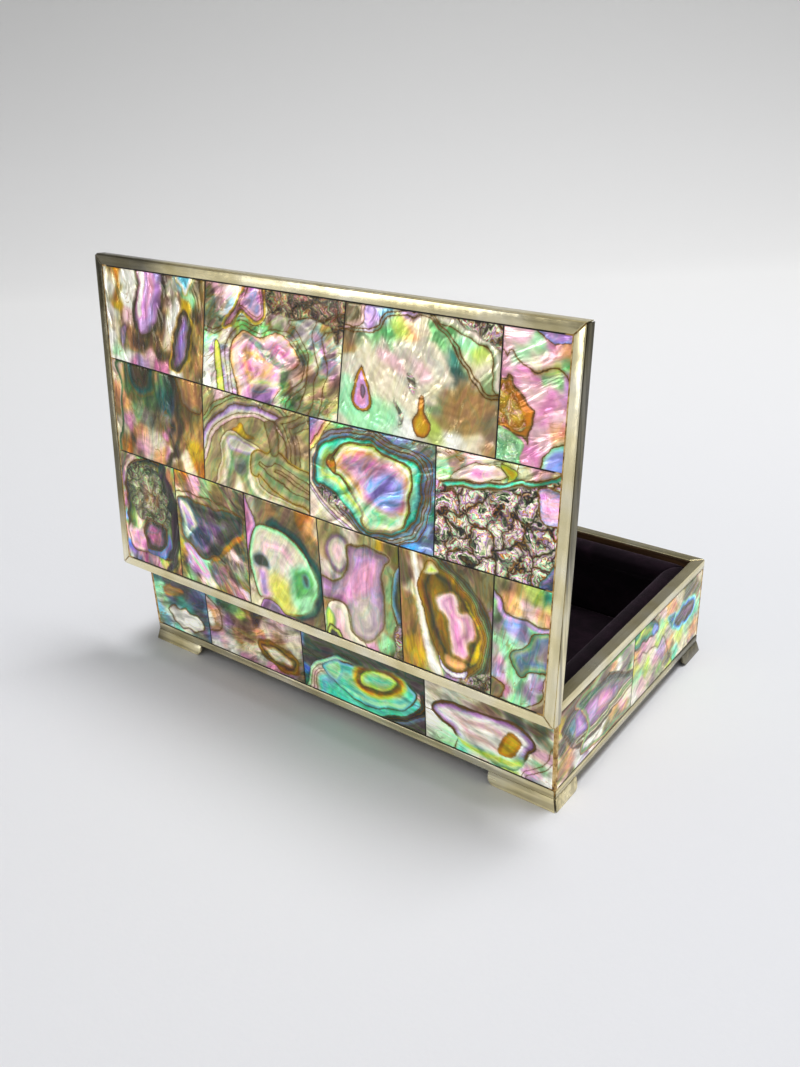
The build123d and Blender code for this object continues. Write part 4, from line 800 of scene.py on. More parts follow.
122.5 89, 120.5 86, 118.5 81.5, 116.5 77, 114.8 72, 114 68 | -0.2 gold, 0.6 ochre, 2.2 umber, 4 ochre | | 0 | 0.14
form 119.5 70.5, 121 69, 123 67.6, 125 68, 126.3 70, 126.8 72, 128.5 71.4, 130.3 72.5, 130.8 75, 131 78.5,
129.5 80.5, 129.3 83, 128.3 84.8, 126.5 84.8, 124.5 84.3, 124 81, 123 77, 121.5 74.5, 119.8 73 | -0.5 olive,
0.1 tan, 0.9 blush, 2.2 pink, 4 blush | 0.45
form 126.5 68.5, 130 71, 132.5 75, 133 80, 131.5 84.5, 129.8 86, 130.2 82.5, 131.8 79, 131.4 75, 129 71.6 | 0 olive,
0.6 gold | 0.3
form 123 85, 126 85.5, 129.5 86, 127.5 88, 124.5 88, 122.3 86.5 | 0 tan, 1 peach | 0.4
form 120.5 85.5, 122.5 88, 126 89, 129.5 87.3, 128.5 89.4, 125 90.4, 121.8 89.2 | 0 lilac, 0.7 white | | 0 | 0.1
form 115.5 64.8, 117.5 62.2, 120 63.2, 117.5 64.6 | 0 cream, 0.8 lime | 0.6
tile 14 mint streak 80 shine 0.7 fold 0.7
wash 138 61.5 2.2 taupe, 142 62 2.2 tan, 140 66 2.2 peach, 145 66 2.2 blush, 149 66.5 1.8 peach, 146 62.3 1.8 lime,
149.5 62 1.8 teal, 150 64.4 1.4 yellow, 137 71 1.8 slate, 138 73.5 1.6 grey, 141 71 1.8 periwinkle,
143 73 1.8 lilac, 139 77 1.8 mint, 141 76 1.6 mint, 138 81 1.8 pink, 138 84 1.8 lilac, 140 87 1.8 rose,
143 85 2.2 mint, 146 88 2.2 lilac, 148 84 1.8 lilac, 144 90 1.8 mint, 150 88 1.3 sage, 142 80 1.6 mint
form 130 63.5, 136.5 64.2, 137.8 65.6, 138.5 68, 141 68.7, 144 68.7, 147 69.1, 149 69, 151 68.5, 158 68, 158 100,
130 100 | 0 slate, 0.8 lilac, 1.7 clear | 0.5 | 0 | 0.2
form 140.9 79, 141.8 77.3, 143.6 76, 145 74.5, 147 71.8, 149 70.8, 151 70, 158 70, 158 81, 151 81, 148.5 81.3,
146 81.8, 145 83, 143.8 83.5, 142.5 82.3, 141.2 80.8 | 0 teal, 0.8 sage, 2 steel, 4 grey | | 0 | 0.25
form 132 86.3, 138 86.6, 139.6 87.8, 139.4 89.5, 138.3 91, 133 92 | 0 tan, 1 taupe | | 0 | 0.25
form 130 92.5, 138 91.3, 142 91.6, 146 91.3, 148.5 89.5, 150 86.5, 151 81, 158 80, 158 100, 130 100 | 0 pearl,
1 taupe | | 0 | 0.2
"""}
wall_rows = {"rear": """
tile 21 steel streak 5 bend 0.6 shine 0.6 fold 0.7
wash 3 13 2.6 mint, 2.5 20 1.8 sky, 2 9.5 2 teal, 8 8 2 slate, 15 8.5 3.6 slate, 20 12 2.8 indigo,
20 16.5 2.2 slate, 10 13.5 1.6 umber, 13 14.5 2.2 teal, 9 16 1.8 steel, 17 16 1.8 teal, 4.5 16.5 1.4 leaf,
7 19 2.2 mint, 9 22.5 2.8 white, 5.5 24 1.8 sky, 10 25 1.8 aqua, 4.5 17 1.8 pearl, 14 25 1.8 pearl,
20 24.5 1.8 grey, 23 21.5 1.3 mauve, 2 25 1.8 sage
form 5 11.5, 8 10, 13 10, 14.5 11, 11.5 12.5, 8 13.5, 5.5 13.5 | 0 amber, 1 tan | 0.8
form 7 18.5, 12 17, 19 17.5, 22.5 19.5, 22 22.5, 18 24, 12 24, 8 22 | -0.3 umber, 0.4 pearl, 1.4 white | 0.5 | 0 |
0.12
tile 22 mauve streak 15 bend 0.5 shine 0.6 fold 0.8
wash 27 10 1.8 blush, 28 13 2.4 peach, 26 15.5 1.4 white, 31 14 1.8 blush, 28.5 19 1.8 tan, 28.3 8.5 1.3 aqua,
31 9.3 1.3 deep_teal, 34 9.5 1.8 leaf, 37.5 9.5 1.8 green, 40 10.5 1.4 lime, 43 9 1.8 ochre, 46 9 1.8 charcoal,
49 8.8 1.4 umber, 34 14.5 1.8 lilac, 37 13 1.8 taupe, 41 14 2.6 umber, 44 13 2.2 taupe, 42 18 2.6 tan,
38 19.5 2.2 tan, 34 18.5 1.8 grey, 28 21.5 1.8 lilac, 32 22.3 2.2 blush, 37 22 1.8 pearl, 42 22 2.2 cream,
47 21.5 2.2 pearl, 52 25 2 pink, 27 25 2.2 white, 34 25.3 2.6 white, 42 25.3 2.2 pink, 55 10 3.6 blush,
60 11 2.6 pearl, 50 12 1.8 cream, 62 14 1.8 cream, 55 14.3 2.6 tan, 47.5 14.6 1.4 peach, 63.5 19 1.4 taupe,
63.5 24 1.4 taupe
form 20 6, 27 8.8, 30 10.6, 32 13.5, 31.5 17, 29 19.5, 26 20.5, 20 21 | | | 0 | 0.22
form 46.5 17.5, 50 16, 55 16, 60 17.5, 62.5 20.5, 61.5 23.5, 58 24.7, 54 24, 50.5 22.5, 47 20.5 | -0.4 ochre,
0.5 ochre, 1.4 umber, 2.2 tan, 3.2 pearl | 0.4 | 0 | 0.12
tile 23 slate streak 170 shine 0.8 fold 0.55
wash 66 9.5 1.4 periwinkle, 66 20 1 blue, 66.5 24 1.4 teal, 72 9 4 slate, 105 12 3.6 slate, 107 19 2.8 slate,
101 25 2.2 teal, 106 25 2.2 blue, 96 26 1.8 teal
form 65 34, 66 24, 66.6 19.5, 68.5 17, 71 15.2, 75 12.6, 80 10.8, 86 10, 92 8.8, 100 8, 106 11, 124 18, 124 34 |
0 steel, 0.6 mint, 1.8 cream, 2.8 blush, 3.8 cream, 5 aqua, 6.2 sky, 8 aqua | | 0 1.5 2.7 3.7 | 0.1
form 112 5, 100 10, 106 12.5, 107 17.5, 102.5 21.5, 96 24.5, 92 28, 120 32, 120 5 | 0 slate, 1.4 charcoal, 2 steel,
3 slate | 0.3 | 0 0.9 1.8 | 0.12
form 72 17, 74.5 14.4, 77.5 13, 81 12.4, 85 12.2, 89 11.2, 95 10, 101 10.8, 105 13, 105.3 16.5, 102 19.5, 97 22,
92 23.5, 87 24.2, 83 23.4, 78 21.2, 74.5 19 | -0.2 slate, 0.1 teal, 0.5 sky, 1.4 aqua, 2.8 aqua, 4.2 mint,
5.6 mint | | 0 | 0.14
form 78 20.5, 84 21, 90 21, 98 19, 103.5 16.5, 101.5 19.5, 96 22, 90 23.4, 84 23.2, 79 21.5 | 0 aqua, 0.8 mint | 1
form 72.5 16.8, 75 14, 79 12.5, 80 16, 78.4 19, 76 20 | 0 sky, 1.2 mint | 1.4
form 86.4 13.5, 89 11.9, 93 10.8, 97 10.6, 99.8 12, 98.5 14.5, 95.8 16.6, 92.7 17.7, 89 18.2, 86.4 17.8, 85.6 15.6 |
-2.8 mint, -2 lime, -1.3 gold, -0.7 ochre, 0.2 olive, 0.9 lime, 2.4 mint, 3.4 aqua | 0.7
form 66 12, 72 11.8, 76 11.4, 81 11.6, 85.5 12, 90 11.2, 94 10.1, 98 9.8, 102 11, 106 13.5, 110 8, 100 4, 70 4 |
0 deep_teal, 0.8 slate | 0.8
tile 24 white streak 165 shine 0.7 fold 0.6
wash 112 9.5 1.8 cream, 111 20 3.6 white, 114 23 2.6 mint, 113 14 1 white, 120 8.8 2.6 pearl, 128 8.8 2.6 taupe,
136 9 2.6 slate, 143 10 2.2 umber, 146.5 14 1.8 taupe, 120 26 1.8 aqua, 126 25.3 1.6 blush, 131 25 1.3 aqua,
134 25.4 1.4 lime, 141 24 2 pink, 144 17.5 1.8 blush, 143 21 1.8 mint, 141 26 1.8 steel, 145.5 24 1.4 white
form 100 17, 116.5 17.8, 118.6 20, 119 22.5, 117.5 25.5, 117 34, 100 34 | | | 0 | 0.25
form 138 27, 139 24, 142 21.6, 145 18, 147 14, 152 14, 152 34, 137 34 | | | 0 1.4 | 0.12
form 110.8 15.5, 111.3 13.8, 113.5 12.6, 117 11.8, 121 11.4, 127 11.3, 133 10.9, 138 11.3, 141 13, 141.8 15.5,
140 18, 138.5 21, 136 24, 131 25, 126.5 23.5, 121 23, 118.5 21, 117.5 19.5, 114 18.3, 111.8 17 | -0.6 taupe,
-0.1 umber, 0.4 mauve, 1.1 lilac, 2.2 white, 4 blush, 6 white | 0.25 | 0 | 0.25
form 119 21.5, 125 22.5, 133 22, 138 20.5, 138.5 22.5, 134 24.8, 127 25, 120 24 | 0 mint, 1 lime | 1.4
form 131.5 21.3, 132.5 17, 134 14.3, 135.7 13.5, 137.5 15, 137.8 16.8, 135.8 20, 133.7 21.5 | -0.3 tan, 0.4 amber,
1.2 gold | 0.3
""", "left": """
tile 25 pearl streak 10 bend 0.5 shine 0.8 fold 0.6
wash 3 8 1.8 gold, 3 14 1.4 umber, 3 21 1.8 tan, 6 5 2.6 taupe, 15 5 3.6 taupe, 25 4.5 2.6 taupe, 30 5 1.8 peach,
33 5.8 1.4 white, 37 6.5 2.2 grey, 40 9 1.4 sage, 5 17.5 1.8 tan, 7 20.5 2.2 peach, 12 22 2.6 white,
17 22.3 3 white, 15 25 2.2 lilac, 23 22 2.2 white, 22 25.5 2.2 blush, 27 23.5 1.8 taupe, 33 23.5 2.6 taupe,
38 22.5 1.8 tan, 36 20 1.8 pink, 39 19.5 1.8 pearl, 31 20.6 1.6 peach, 8 26 1.8 olive
form 3.2 9.3, 5.5 7, 9 6, 16 6, 22 5.8, 27 6.6, 31 8.3, 35 10, 39 12, 46 14, 46 16.5, 38 17.3, 33 17.8, 30 18.3,
29 19.8, 25 20.4, 17 20.3, 12 19.5, 9 17.5, 6.5 14.5, 4 11.5 | -0.6 taupe, 0 charcoal, 0.6 slate, 1.3 slate, 2 grey,
3.5 mauve, 5.5 lilac | 0.3 | 0 | 0.3
form 22 10, 26 9.5, 30 12, 30 15.3, 25 16.3, 21 15 | 0 mauve, 2 pink | 1.3
form 8 17.4, 12 16.8, 26 17.2, 28 16, 34 15.8, 46 15, 46 18, 30 18.4, 27 19.7, 17 19.7, 12 19 | 0 tan, 0.5 pearl,
1.1 sage | 0.2 | 0 0.9 | 0.13
form 11.5 4, 13.5 10, 15.3 13.5, 16.5 16.5, 16 24, 60 24, 60 4 | 0 peach, 0.7 sage, 1.4 clear | 0.3 | 0
form 5 10, 8 8.3, 9.5 9, 9.6 13, 8.5 14.8, 6 12 | 0 slate, 0.8 steel | 0.3
form 9.3 8.5, 12 8, 14 11, 15.5 14, 15.8 16.5, 11 16.5, 9.8 14, 9.2 11 | 0 mauve, 0.8 violet, 2 lilac | 0.3
form 11 6.3, 18 5.8, 22 6.2, 18 8, 15 9.5, 12.5 8 | 0 deep_teal, 1 leaf | 0.6
tile 26 cream streak 20 bend 0.5 shine 0.7 fold 0.6
wash 44 9.5 1.6 peach, 48 9.5 2.4 pink, 52 10.5 2.4 blush, 58 6 1.4 tan, 60 8 1.8 mint, 62 10 1.8 lime,
60 4.5 1.8 blush, 65 5 1.8 peach, 68 6.5 1.6 peach, 72 4.5 2.4 cream, 78 5 3.4 taupe, 85 8 2.2 taupe,
76 8.4 1.6 olive, 83 10 1.6 sage, 58 12.5 1.4 lime, 45 14 1.8 yellow, 46 18 2.2 mint, 51 17.5 1.8 lime,
49 13.8 1.6 cream, 59 16 2.2 lilac, 62 18 1.8 lilac, 57 18.6 1.4 pink, 55 15 1.6 cream, 64 14 1.6 pearl,
66 18 1.8 peach, 48 22 2.8 blush, 54 21 1.8 cream, 45 25.5 2.6 white, 56 23.8 2.2 grey, 60 23.5 1.8 sage,
63 20.5 1.6 taupe, 67 21 1.8 olive, 66 23.6 1.3 slate, 68 25.5 1.8 lime, 74 19 2.6 lime, 80 18 2.4 mint,
84 16 1.8 aqua, 86 14 1.6 mint, 72 23 1.8 aqua, 78 23 2.6 cream, 84 21 2.6 peach, 83 25.3 1.8 mauve,
76 25.5 2.2 cream
form 40 12.2, 52 12.4, 56 13.2, 58 14.5, 62 13.5, 66 20, 70 34, 38 34 | | | 0 | 0.12
form 64 7.5, 67 8, 70 9.5, 71 12, 71.5 14.5, 69 14, 66.5 12, 64.5 10 | 0 sky, 1 teal, 1.8 blue | 0.6
form 70.3 12.5, 71.5 10.8, 74.5 10, 79 10, 82 11.3, 82.8 13, 80.5 14.6, 76 14.8, 72 14 | -2.1 mint, -1.3 sky,
-0.6 blue, 0 slate, 0.8 umber, 1.6 mauve | 0.5
form 40 4.5, 46 1, 52 1.8, 55 4.5, 57.5 7, 57.3 8.6, 54 8.6, 48 7.8, 40 7.6 | -0.2 umber, 0.4 leaf, 1 teal,
1.8 green, 2.8 lime | 0.2 | 0 | 0.2
form 54 5, 57.8 7.5, 57 8.6, 53.5 8.3 | 0 blue, 1 periwinkle | 0.6
"""}
for node, rows in lid_rows.items():
    lay_tiles(node, lid_face, read_tiles(rows), "lid")

wall_rows = {side: read_tiles(rows) for side, rows in wall_rows.items()}
cloud_hues = (
    ("pearl", "mint", "pink", "lilac", "cream", "sage"), ("slate", "teal", "aqua", "steel", "leaf", "pearl"),
    ("taupe", "tan", "cream", "mauve", "peach", "lime"), ("white", "blush", "mint", "periwinkle", "pearl", "tan"),
)
nests = (
    "-3 steel, -2 slate, -0.8 steel, 0 deep_teal, 0.8 teal, 1.8 aqua, 3 mint, 5 green",
    "-1 umber, 0 mauve, 1 lilac, 2.4 pink, 4.5 blush, 7 periwinkle",
    "-2.4 taupe, -1.2 sage, 0 slate, 0.8 sage, 1.6 mint, 3 cream, 4.6 peach, 7 blush",
    "-0.5 ochre, 0.3 amber, 1.4 olive, 2.4 cream, 3.6 pink, 5 lilac",
)
wash_count, form_points = 34, 11
form_lines = ("-2.2 -1.2 0", "0", "0 1.2")


def seeded_pattern(seed, left, right, top, bottom):
    """A tile like the others, with its outlines and colours picked by its seed."""
    draw = random.Random(seed)
    hues = draw.choice(cloud_hues)
    wash = [
        (draw.uniform(left, right), draw.uniform(top, bottom), draw.uniform(1.6, 3.4), draw.choice(hues))
        for _ in range(wash_count)
    ]
    forms = []
    for i, lines in enumerate(form_lines):
        x, y = draw.uniform(left + 6, right - 6), draw.uniform(top + 4, bottom - 4)
        wide, tall, lean = draw.uniform(6, 15 - 3 * i), draw.uniform(4, 8 - i), draw.uniform(-0.5, 0.5)
        places = []
        for k in range(form_points):
            angle = k * math.tau / form_points
            reach = draw.uniform(0.78, 1.15)
            dx, dy = wide * reach * math.cos(angle), tall * reach * math.sin(angle)
            places.append(f"{x + dx - lean * dy} {y + dy + lean * dx}")
        forms.append(form(f"{','.join(places)} | {draw.choice(nests)} | 0.3 | {lines} | {0.2 - 0.03 * i}"))
    return {
        "seed": seed, "base": hues[0], "streak": draw.uniform(0, 180), "rough": [], "wash": wash, "forms": forms
    }


for side, seeds in (("front", (31, 38, 33, 34)), ("right", (35, 36))):
    wall_rows[side] = []
    for seed, outline in zip(seeds, tile_outlines("shell_tiles_" + side, *wall_faces[side])[0]):
        across, down = zip(*outline)
        wall_rows[side].append(seeded_pattern(seed, min(across), max(across), min(down), max(down)))
for side, patterns in wall_rows.items():
    lay_tiles("shell_tiles_" + side, wall_faces[side], patterns, "box")


# Nickel silver edging
# Thin strips of nickel silver, bent to an angle along the rim, the base and the edge of the lid, and flat on the
# face of the lid. Mitred at the corners, tacked to the wood, brushed lengthwise and worn bright at the edges.

weld_reach = 0.002 * MM
edge_ease, lid_edge_ease, face_strip_ease = 0.28 * MM, 0.2 * MM, 0.17 * MM
# Real brushing is finer, about 0.05 mm a line, and is drawn as coarse as it needs to show.
brush_line, long_line, stain_size = 0.14 * MM, 1.6 * MM, 12 * MM
brush_depth, long_depth, stain_depth = 0.003 * MM, 0.03 * MM, 0.4 * MM
painted_edge_radius = 0.3 * MM


def nickel_silver(name, axis, painted_dark_places=(), painted_top_reflection_tone=1.0, metallic=0.82, streaks=0.15):
    """Brushed nickel silver: fine lines along an axis, faint stains and long streaks, with painted dark reflections
    along the edges and painted dark reflection and shade round places given with their reach in mm. A low top tone
    paints a dark reflection on what faces up; strong streaks are painted reflection lines."""
    made, shader, add = new_material(name, {"Metallic": metallic, "Roughness": 0.2})
    spot = add("TexCoord", out="Object")
    lines, long_lines = (
        add("Mapping", spot, Scale=[draw_out if a == axis else 1 for a in "XYZ"]) for draw_out in (0.012, 0.05)
    )
    lines = add("TexNoise", lines, 1 / brush_line, 4, 0.65)
    long_lines = add("TexNoise", long_lines, 1 / long_line, 2, 0.5)
    stains = add("TexNoise", spot, 1 / stain_size, 3, 0.5)
    colour = add("ValToRGB", stains, stops=((0.3, "#DCCE9A"), (0.5, "#F3E7BA"), (0.7, "#FDF6DC")))
    shade = add("MapRange", lines, 0.3, 0.7, 0.97, 1.02)
    # Long streaks along the brushing; where they are strong, as on the lid ends, they are painted reflection lines.
    tones = [add("MapRange", long_lines, 0.42, 0.58, 1 - streaks, 1, **smoothly)]
    # Painted dark reflection and shade round the given places.
    for place, reach in painted_dark_places:
        far = add("VectorMath", spot, Vector(place) * MM, operation="DISTANCE")
        tones.append(add("MapRange", far, reach * 0.6 * MM, reach * MM, 0.22, 1, **smoothly))
    for tone in tones:
        shade = add("Math", shade, tone, operation="MULTIPLY")
    flat = add("NewGeometry", out="Normal")
    upward = add("SeparateXYZ", flat, out="Z")
    # Painted dark reflections along the edges, found from the bevel normal.
    rounded = add("Bevel", painted_edge_radius, samples=4)
    edge = add("VectorMath", flat, rounded, operation="DOT_PRODUCT")
    # The coats: the brushing and its streaks, a painted dark reflection on what faces up, and painted dark
    # reflections along the edges.
    for share, coat, mode in (
        (1, shade, "MULTIPLY"),
        (add("MapRange", upward, 0.8, 0.95, 0, 1 - painted_top_reflection_tone), "#4A4530", "MIX"),
        (add("MapRange", edge, 0.84, 0.985, 0.9, 0, **smoothly), "#332C18", "MIX"),
    ):
        colour = add("Mix", share, colour, coat, data_type="RGBA", blend_type=mode)
    relief = None
    for height, depth in ((stains, stain_depth), (long_lines, long_depth), (lines, brush_depth)):
        relief = add("Bump", Distance=depth, Height=height, Normal=relief)
    gloss = add("MapRange", long_lines, 0.3, 0.7, 0.14, 0.28)
    fill_inputs(shader, {"Base Color": colour, "Roughness": gloss, "Normal": relief})
    return made


def eased_copy(node, body, made, ease):
    """A copy of a CAD piece with its sharp edges rounded off, in its place."""
    shape = merged_copy(node, weld_reach)
    flat_angle, sharp_angle = math.radians(1), math.radians(35)
    bmesh.ops.dissolve_limit(
        shape, angle_limit=flat_angle, verts=shape.verts, edges=shape.edges, delimit={"NORMAL"}
    )
    piece = new_piece(node + "_eased", shape, [made])
    bevel = piece.modifiers.new("ease", "BEVEL")
    bevel.width = ease
    bevel.segments = 3
    bevel.limit_method = "ANGLE"
    bevel.angle_limit = sharp_angle
    bevel.use_clamp_overlap = True
    bevel.harden_normals = True
    stand_in(piece, node, body)


# Painted dark reflections and painted shade on the strips, at places in mm, each with its reach: by the feet, at the
# lid's corners and at one end of the lid's top strip.
painted_shade_by_the_feet = (((79, 51, 3), 15), ((-79, -50, 2), 26))
far_corner, near_corner = ((78, 46, 95), 62), ((-78, 46, 108), 52)
silver_x = nickel_silver("brushed_nickel_silver_along_x", "X", [((78, 48, 126), 36)])
base_x = nickel_silver("rubbed_nickel_silver_along_x", "X", painted_shade_by_the_feet, 1, 0.62, 0.35)
base_y = nickel_silver("rubbed_nickel_silver_along_y", "Y", painted_shade_by_the_feet, 1, 0.62, 0.35)
# The rim angles carry a painted dark reflection on their tops.
rim_x = nickel_silver("nickel_silver_with_painted_dark_top_along_x", "X", painted_top_reflection_tone=0.45)
rim_y = nickel_silver("nickel_silver_with_painted_dark_top_along_y", "Y", painted_top_reflection_tone=0.45)
# The lid ends carry strong streaks, which are painted reflection lines, and painted dark reflections at both corners.
lid_ends = nickel_silver("nickel_silver_of_the_lid_ends", "Z", [far_corner, near_corner], streaks=0.6)
face_ends = nickel_silver("nickel_silver_of_the_face_ends", "Z", [far_corner])
for side in sides:
    long_side = side in ("front", "rear")
    for name, body, made, ease in (
        ("rim_angle_", "box", rim_x if long_side else rim_y, edge_ease),
        ("base_angle_", "box", base_x if long_side else base_y, edge_ease),
        ("lid_edge_", "lid", silver_x if long_side else lid_ends, lid_edge_ease),
        ("lid_face_strip_", "lid", silver_x if long_side else face_ends, face_strip_ease),
    ):
        eased_copy(name + side, body, made, ease)


# Feet
# Four bracket feet of the same nickel silver, each bent round its corner from one strip, splayed a little at the
# bottom and soldered under the base angles.

foot_ease = 0.16 * MM
for name in ("foot_front_left", "foot_front_right", "foot_rear_left", "foot_rear_right"):
    eased_copy(name, "box", base_x, foot_ease)


# Hinge
# A piano hinge of steel: one leaf soldered to the rear rim angle, one let into the lid, and a pin through the
# eleven knuckles.

# Bright steel, rolled and handled: worn in streaks along the hinge, half shiny.
knuckle_ease = 0.08 * MM
wear_size, wear_depth = 0.5 * MM, 0.02 * MM
hinge_steel, shader, add = new_material("hinge_steel", {"Metallic": 1.0, "Roughness": 0.34})
wear = add("Mapping", add("TexCoord", out="Object"), Scale=(0.1, 1, 1))
wear = add("TexNoise", wear, 1 / wear_size, 4, 0.65)
colour = add("ValToRGB", wear, stops=((0.3, "#5C5A50"), (0.55, "#8F8C7C"), (0.75, "#B5B2A0")))
gloss = add("MapRange", wear, 0.3, 0.7, 0.26, 0.48)
relief = add("Bump", Distance=wear_depth, Height=wear)
fill_inputs(shader, {"Base Color": colour, "Roughness": gloss, "Normal": relief})
eased_copy("hinge_leaf_body", "box", hinge_steel, knuckle_ease)
eased_copy("hinge_leaf_lid", "lid", hinge_steel, knuckle_ease)
finish_node("hinge_pin", hinge_steel)


# Velvet linings
# Card covered with wadding and dark plum velvet, glued inside the walls, where it rolls over the top of the wood,
# with a flat velvet pad on the floor and a thin padded panel inside the lid.

# Cotton velvet: a deep matt colour with a pale bloom at grazing angles, and soft marks where the nap is brushed.
# A real pile is finer, about 0.1 mm a tuft, and is drawn as coarse as it needs to show.
pile, nap_mark = 0.22 * MM, 7 * MM
pile_depth, mark_depth = 0.09 * MM, 0.25 * MM
plum_velvet, shader, add = new_material("plum_velvet", {
    "Roughness": 0.9, "Specular IOR Level": 0.15,
    "Sheen Weight": 0.5, "Sheen Roughness": 0.32, "Sheen Tint": "#A08C9C",
})
spot = add("TexCoord", out="Object")
nap = add("TexNoise", spot, 1 / pile, 4, 0.7)
marks = add("TexNoise", add("Mapping", spot, Scale=(0.7, 1, 1)), 1 / nap_mark, 3, 0.55, Distortion=1.0)
colour = add("ValToRGB", marks, stops=((0.3, "#0E070D"), (0.5, "#170C15"), (0.7, "#241520")))
fleck = add("MapRange", nap, 0.3, 0.7, 0.75, 1.25)
colour = add("Mix", 1, colour, fleck, data_type="RGBA", blend_type="MULTIPLY")
relief = add("Bump", Distance=mark_depth, Height=marks)
relief = add("Bump", Distance=pile_depth, Height=nap, Normal=relief)
fill_inputs(shader, {"Base Color": colour, "Normal": relief})

# The cloth is blown up at a larger scale, where the simulation is steady.
sim_scale = 6.0
pad_voxel = 1.0 * MM * sim_scale
swell, lid_swell = 0.35 * MM, 0.2 * MM
slack = 0.05 * MM
cloth_steps = 20


def points_of(piece):
    """The places of a piece's points, one row each."""
    places = np.empty(len(piece.data.vertices) * 3)
    piece.data.vertices.foreach_get("co", places)
    return places.reshape(-1, 3)


def apply_modifiers(piece):
    """Makes what a piece's modifiers give its own mesh."""
    bpy.context.view_layer.update()
    result = bpy.data.meshes.new_from_object(piece.evaluated_get(bpy.context.evaluated_depsgraph_get()))
    piece.modifiers.clear()
    piece.data = result


def stuffed(node, body, rise):
    """A velvet piece: the CAD solid remeshed, blown up a little as cloth, held near its own shape and smoothed."""
    shape = merged_copy(node, weld_reach)
    bmesh.ops.recalc_face_normals(shape, faces=shape.faces)
    bmesh.ops.scale(shape, vec=(sim_scale,) * 3, verts=shape.verts)
    piece = new_piece(node + "_velvet", shape)
    remesh = piece.modifiers.new("voxels", "REMESH")
    remesh.mode = "VOXEL"
    remesh.voxel_size = pad_voxel
    apply_modifiers(piece)
    soften = piece.modifiers.new("soften", "SMOOTH")
    soften.factor = 0.5
    soften.iterations = 3
    apply_modifiers(piece)
    places = points_of(piece)
    cloth = piece.modifiers.new("cloth", "CLOTH")
    cloth.settings.use_pressure = True
    cloth.settings.uniform_pressure_force = 4.0
    cloth.settings.effector_weights.gravity = 0.0
    cloth.point_cache.frame_start = 1
    cloth.point_cache.frame_end = cloth_steps
    for step in range(1, cloth_steps + 1):
        bpy.context.scene.frame_set(step)
    apply_modifiers(piece)
    bpy.context.scene.frame_set(1)
    moved = points_of(piece) - places
    size = np.linalg.norm(moved, axis=1)[:, None]
    limit = rise * sim_scale
    places += moved * limit * np.tanh(size / limit) / np.maximum(size, 1e-9)
    low, high = (np.array(corner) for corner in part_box(node))
    places = np.clip(places / sim_scale, low - slack, high + slack)
    piece.data.vertices.foreach_set("co", places.reshape(-1))
    piece.data.update()
    fine = piece.modifiers.new("fine", "SUBSURF")
    fine.levels = fine.render_levels = 1
    apply_modifiers(piece)
    piece.data.materials.clear()
    piece.data.materials.append(plum_velvet)
    for quad in piece.data.polygons:
        quad.use_smooth = True
    stand_in(piece, node, body)


for side in sides:
    stuffed("lining_" + side, "box", swell)
stuffed("floor_pad", "box", swell)
stuffed("lid_lining", "lid", lid_swell)


# Stage, lights and camera
# A pale seamless sweep, big soft lamps above and beside the object, and the camera of the photograph.

sweep_radius, sweep_back, sweep_front, sweep_top = 0.35, 0.9, -1.6, 2.2
sweep_half, sweep_steps = 2.6, 16
bend_start = sweep_back - sweep_radius
line = [(sweep_front, 0.0), (bend_start, 0.0)]
for i in range(1, sweep_steps + 1):
    angle = i * math.pi / (2 * sweep_steps)
    line.append((bend_start + sweep_radius * math.sin(angle), sweep_radius * (1 - math.cos(angle))))
line.append((sweep_back, sweep_top))
view_way, side_way = Vector((0.617, -0.787, 0)), Vector((0.787, 0.617, 0))
shape = bmesh.new()
verts = [
    shape.verts.new(view_way * away + side_way * across + Vector((0, 0, up)))
    for away, up in line for across in (-sweep_half, sweep_half)
]
for i in range(0, len(verts) - 2, 2):
    shape.faces.new((verts[i], verts[i + 1], verts[i + 3], verts[i + 2]))

# Matt paper with painted shade: a little darker in front of the object, brightest a little behind it and darker up
# the sweep. Its tooth is drawn coarser than real.
tooth, tooth_depth = 1.2 * MM, 0.06 * MM
paper, shader, add = new_material("pale_paper", {"Roughness": 0.7})
spot = add("TexCoord", out="Object")
along = add("VectorMath", spot, view_way + Vector((0, 0, 1)), operation="DOT_PRODUCT")
tone = add("ValToRGB", add("MapRange", along, -0.4, 2.6, 0, 1), stops=(
    (0.0, "#E4E5E9"), (0.14, "#E9EAEE"), (0.3, "#FFFFFF"), (0.4, "#EDEDED"), (0.6, "#B8B8B6"), (1.0, "#A6A6A4")
))
relief = add("Bump", Distance=tooth_depth, Height=add("TexNoise", spot, 1 / tooth, 4, 0.6))
fill_inputs(shader, {"Base Color": tone, "Normal": relief})
sweep = new_piece("sweep", shape, [paper])

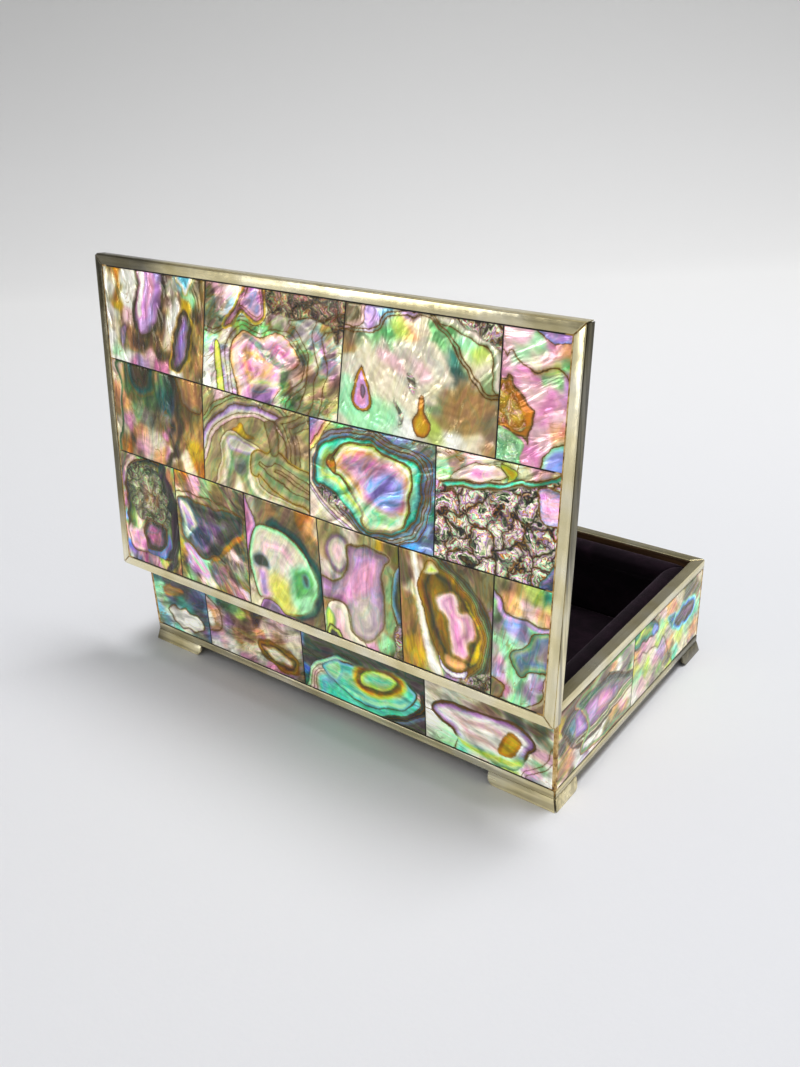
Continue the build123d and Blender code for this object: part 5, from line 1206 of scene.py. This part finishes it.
world = bpy.data.worlds.new("studio")
bpy.context.scene.world = world
world.use_nodes = True
add = partial(add_node, world.node_tree)
up = add("SeparateXYZ", add("TexCoord", out="Generated"), out="Z")
sky = add("ValToRGB", add("MapRange", up, -0.1, 1.0, 0, 1), stops=(
    (0.0, "#5A5A56"), (0.2, "#7C7C78"), (0.45, "#D8D8DA"), (1.0, "#FFFFFF")
))
fill_inputs(world.node_tree.nodes["Background"], {"Color": sky, "Strength": 0.55})


aim = Vector((0, 0, 50)) * MM


def soft_lamp(name, place, size, power, receivers=None):
    """A square area lamp at a place, turned to the middle of the object."""
    lamp = bpy.data.lights.new(name, "AREA")
    lamp.shape = "SQUARE"
    lamp.size = size
    lamp.energy = power
    holder = bpy.data.objects.new(name, lamp)
    holder.location = place
    holder.rotation_euler = (aim - Vector(place)).to_track_quat("-Z", "Y").to_euler()
    holder.light_linking.receiver_collection = receivers
    bpy.context.scene.collection.objects.link(holder)
    return holder


only_paper, all_but_paper = (bpy.data.collections.new(name) for name in ("only_paper", "all_but_paper"))
for group in (only_paper, all_but_paper):
    group.objects.link(sweep)
all_but_paper.collection_objects[0].light_linking.link_state = "EXCLUDE"
soft_lamp("top", (-0.2, -0.2, 1.15), 0.4, 4.8)
soft_lamp("more_top", (-0.2, -0.2, 1.15), 0.4, 4.2, only_paper)
soft_lamp("fill", (-0.2, 1.05, 0.9), 0.7, 4.9, all_but_paper)
soft_lamp("side", (-1.1, 0.2, 0.5), 0.5, 2.5, all_but_paper)
soft_lamp("glints", (0.62, 0.9, 0.16), 0.3, 1.4).visible_diffuse = False

camera = bpy.data.cameras.new("photo")
camera.sensor_fit = "HORIZONTAL"
camera.sensor_width = 36
camera.lens = 46.2
camera.clip_start = 0.01
holder = bpy.data.objects.new("photo", camera)
right_way = Vector((-0.79765, -0.60191, -0.03826))
up_way = Vector((0.23973, -0.37462, 0.89565))
forward = Vector((0.55343, -0.70524, -0.44311))
turned = Matrix((right_way, up_way, -forward)).transposed().to_4x4()
holder.matrix_world = Matrix.Translation(Vector((-169.077, 220.542, 178.283)) * MM) @ turned
bpy.context.scene.collection.objects.link(holder)
bpy.context.scene.camera = holder
bpy.context.scene.view_settings.view_transform = "Standard"
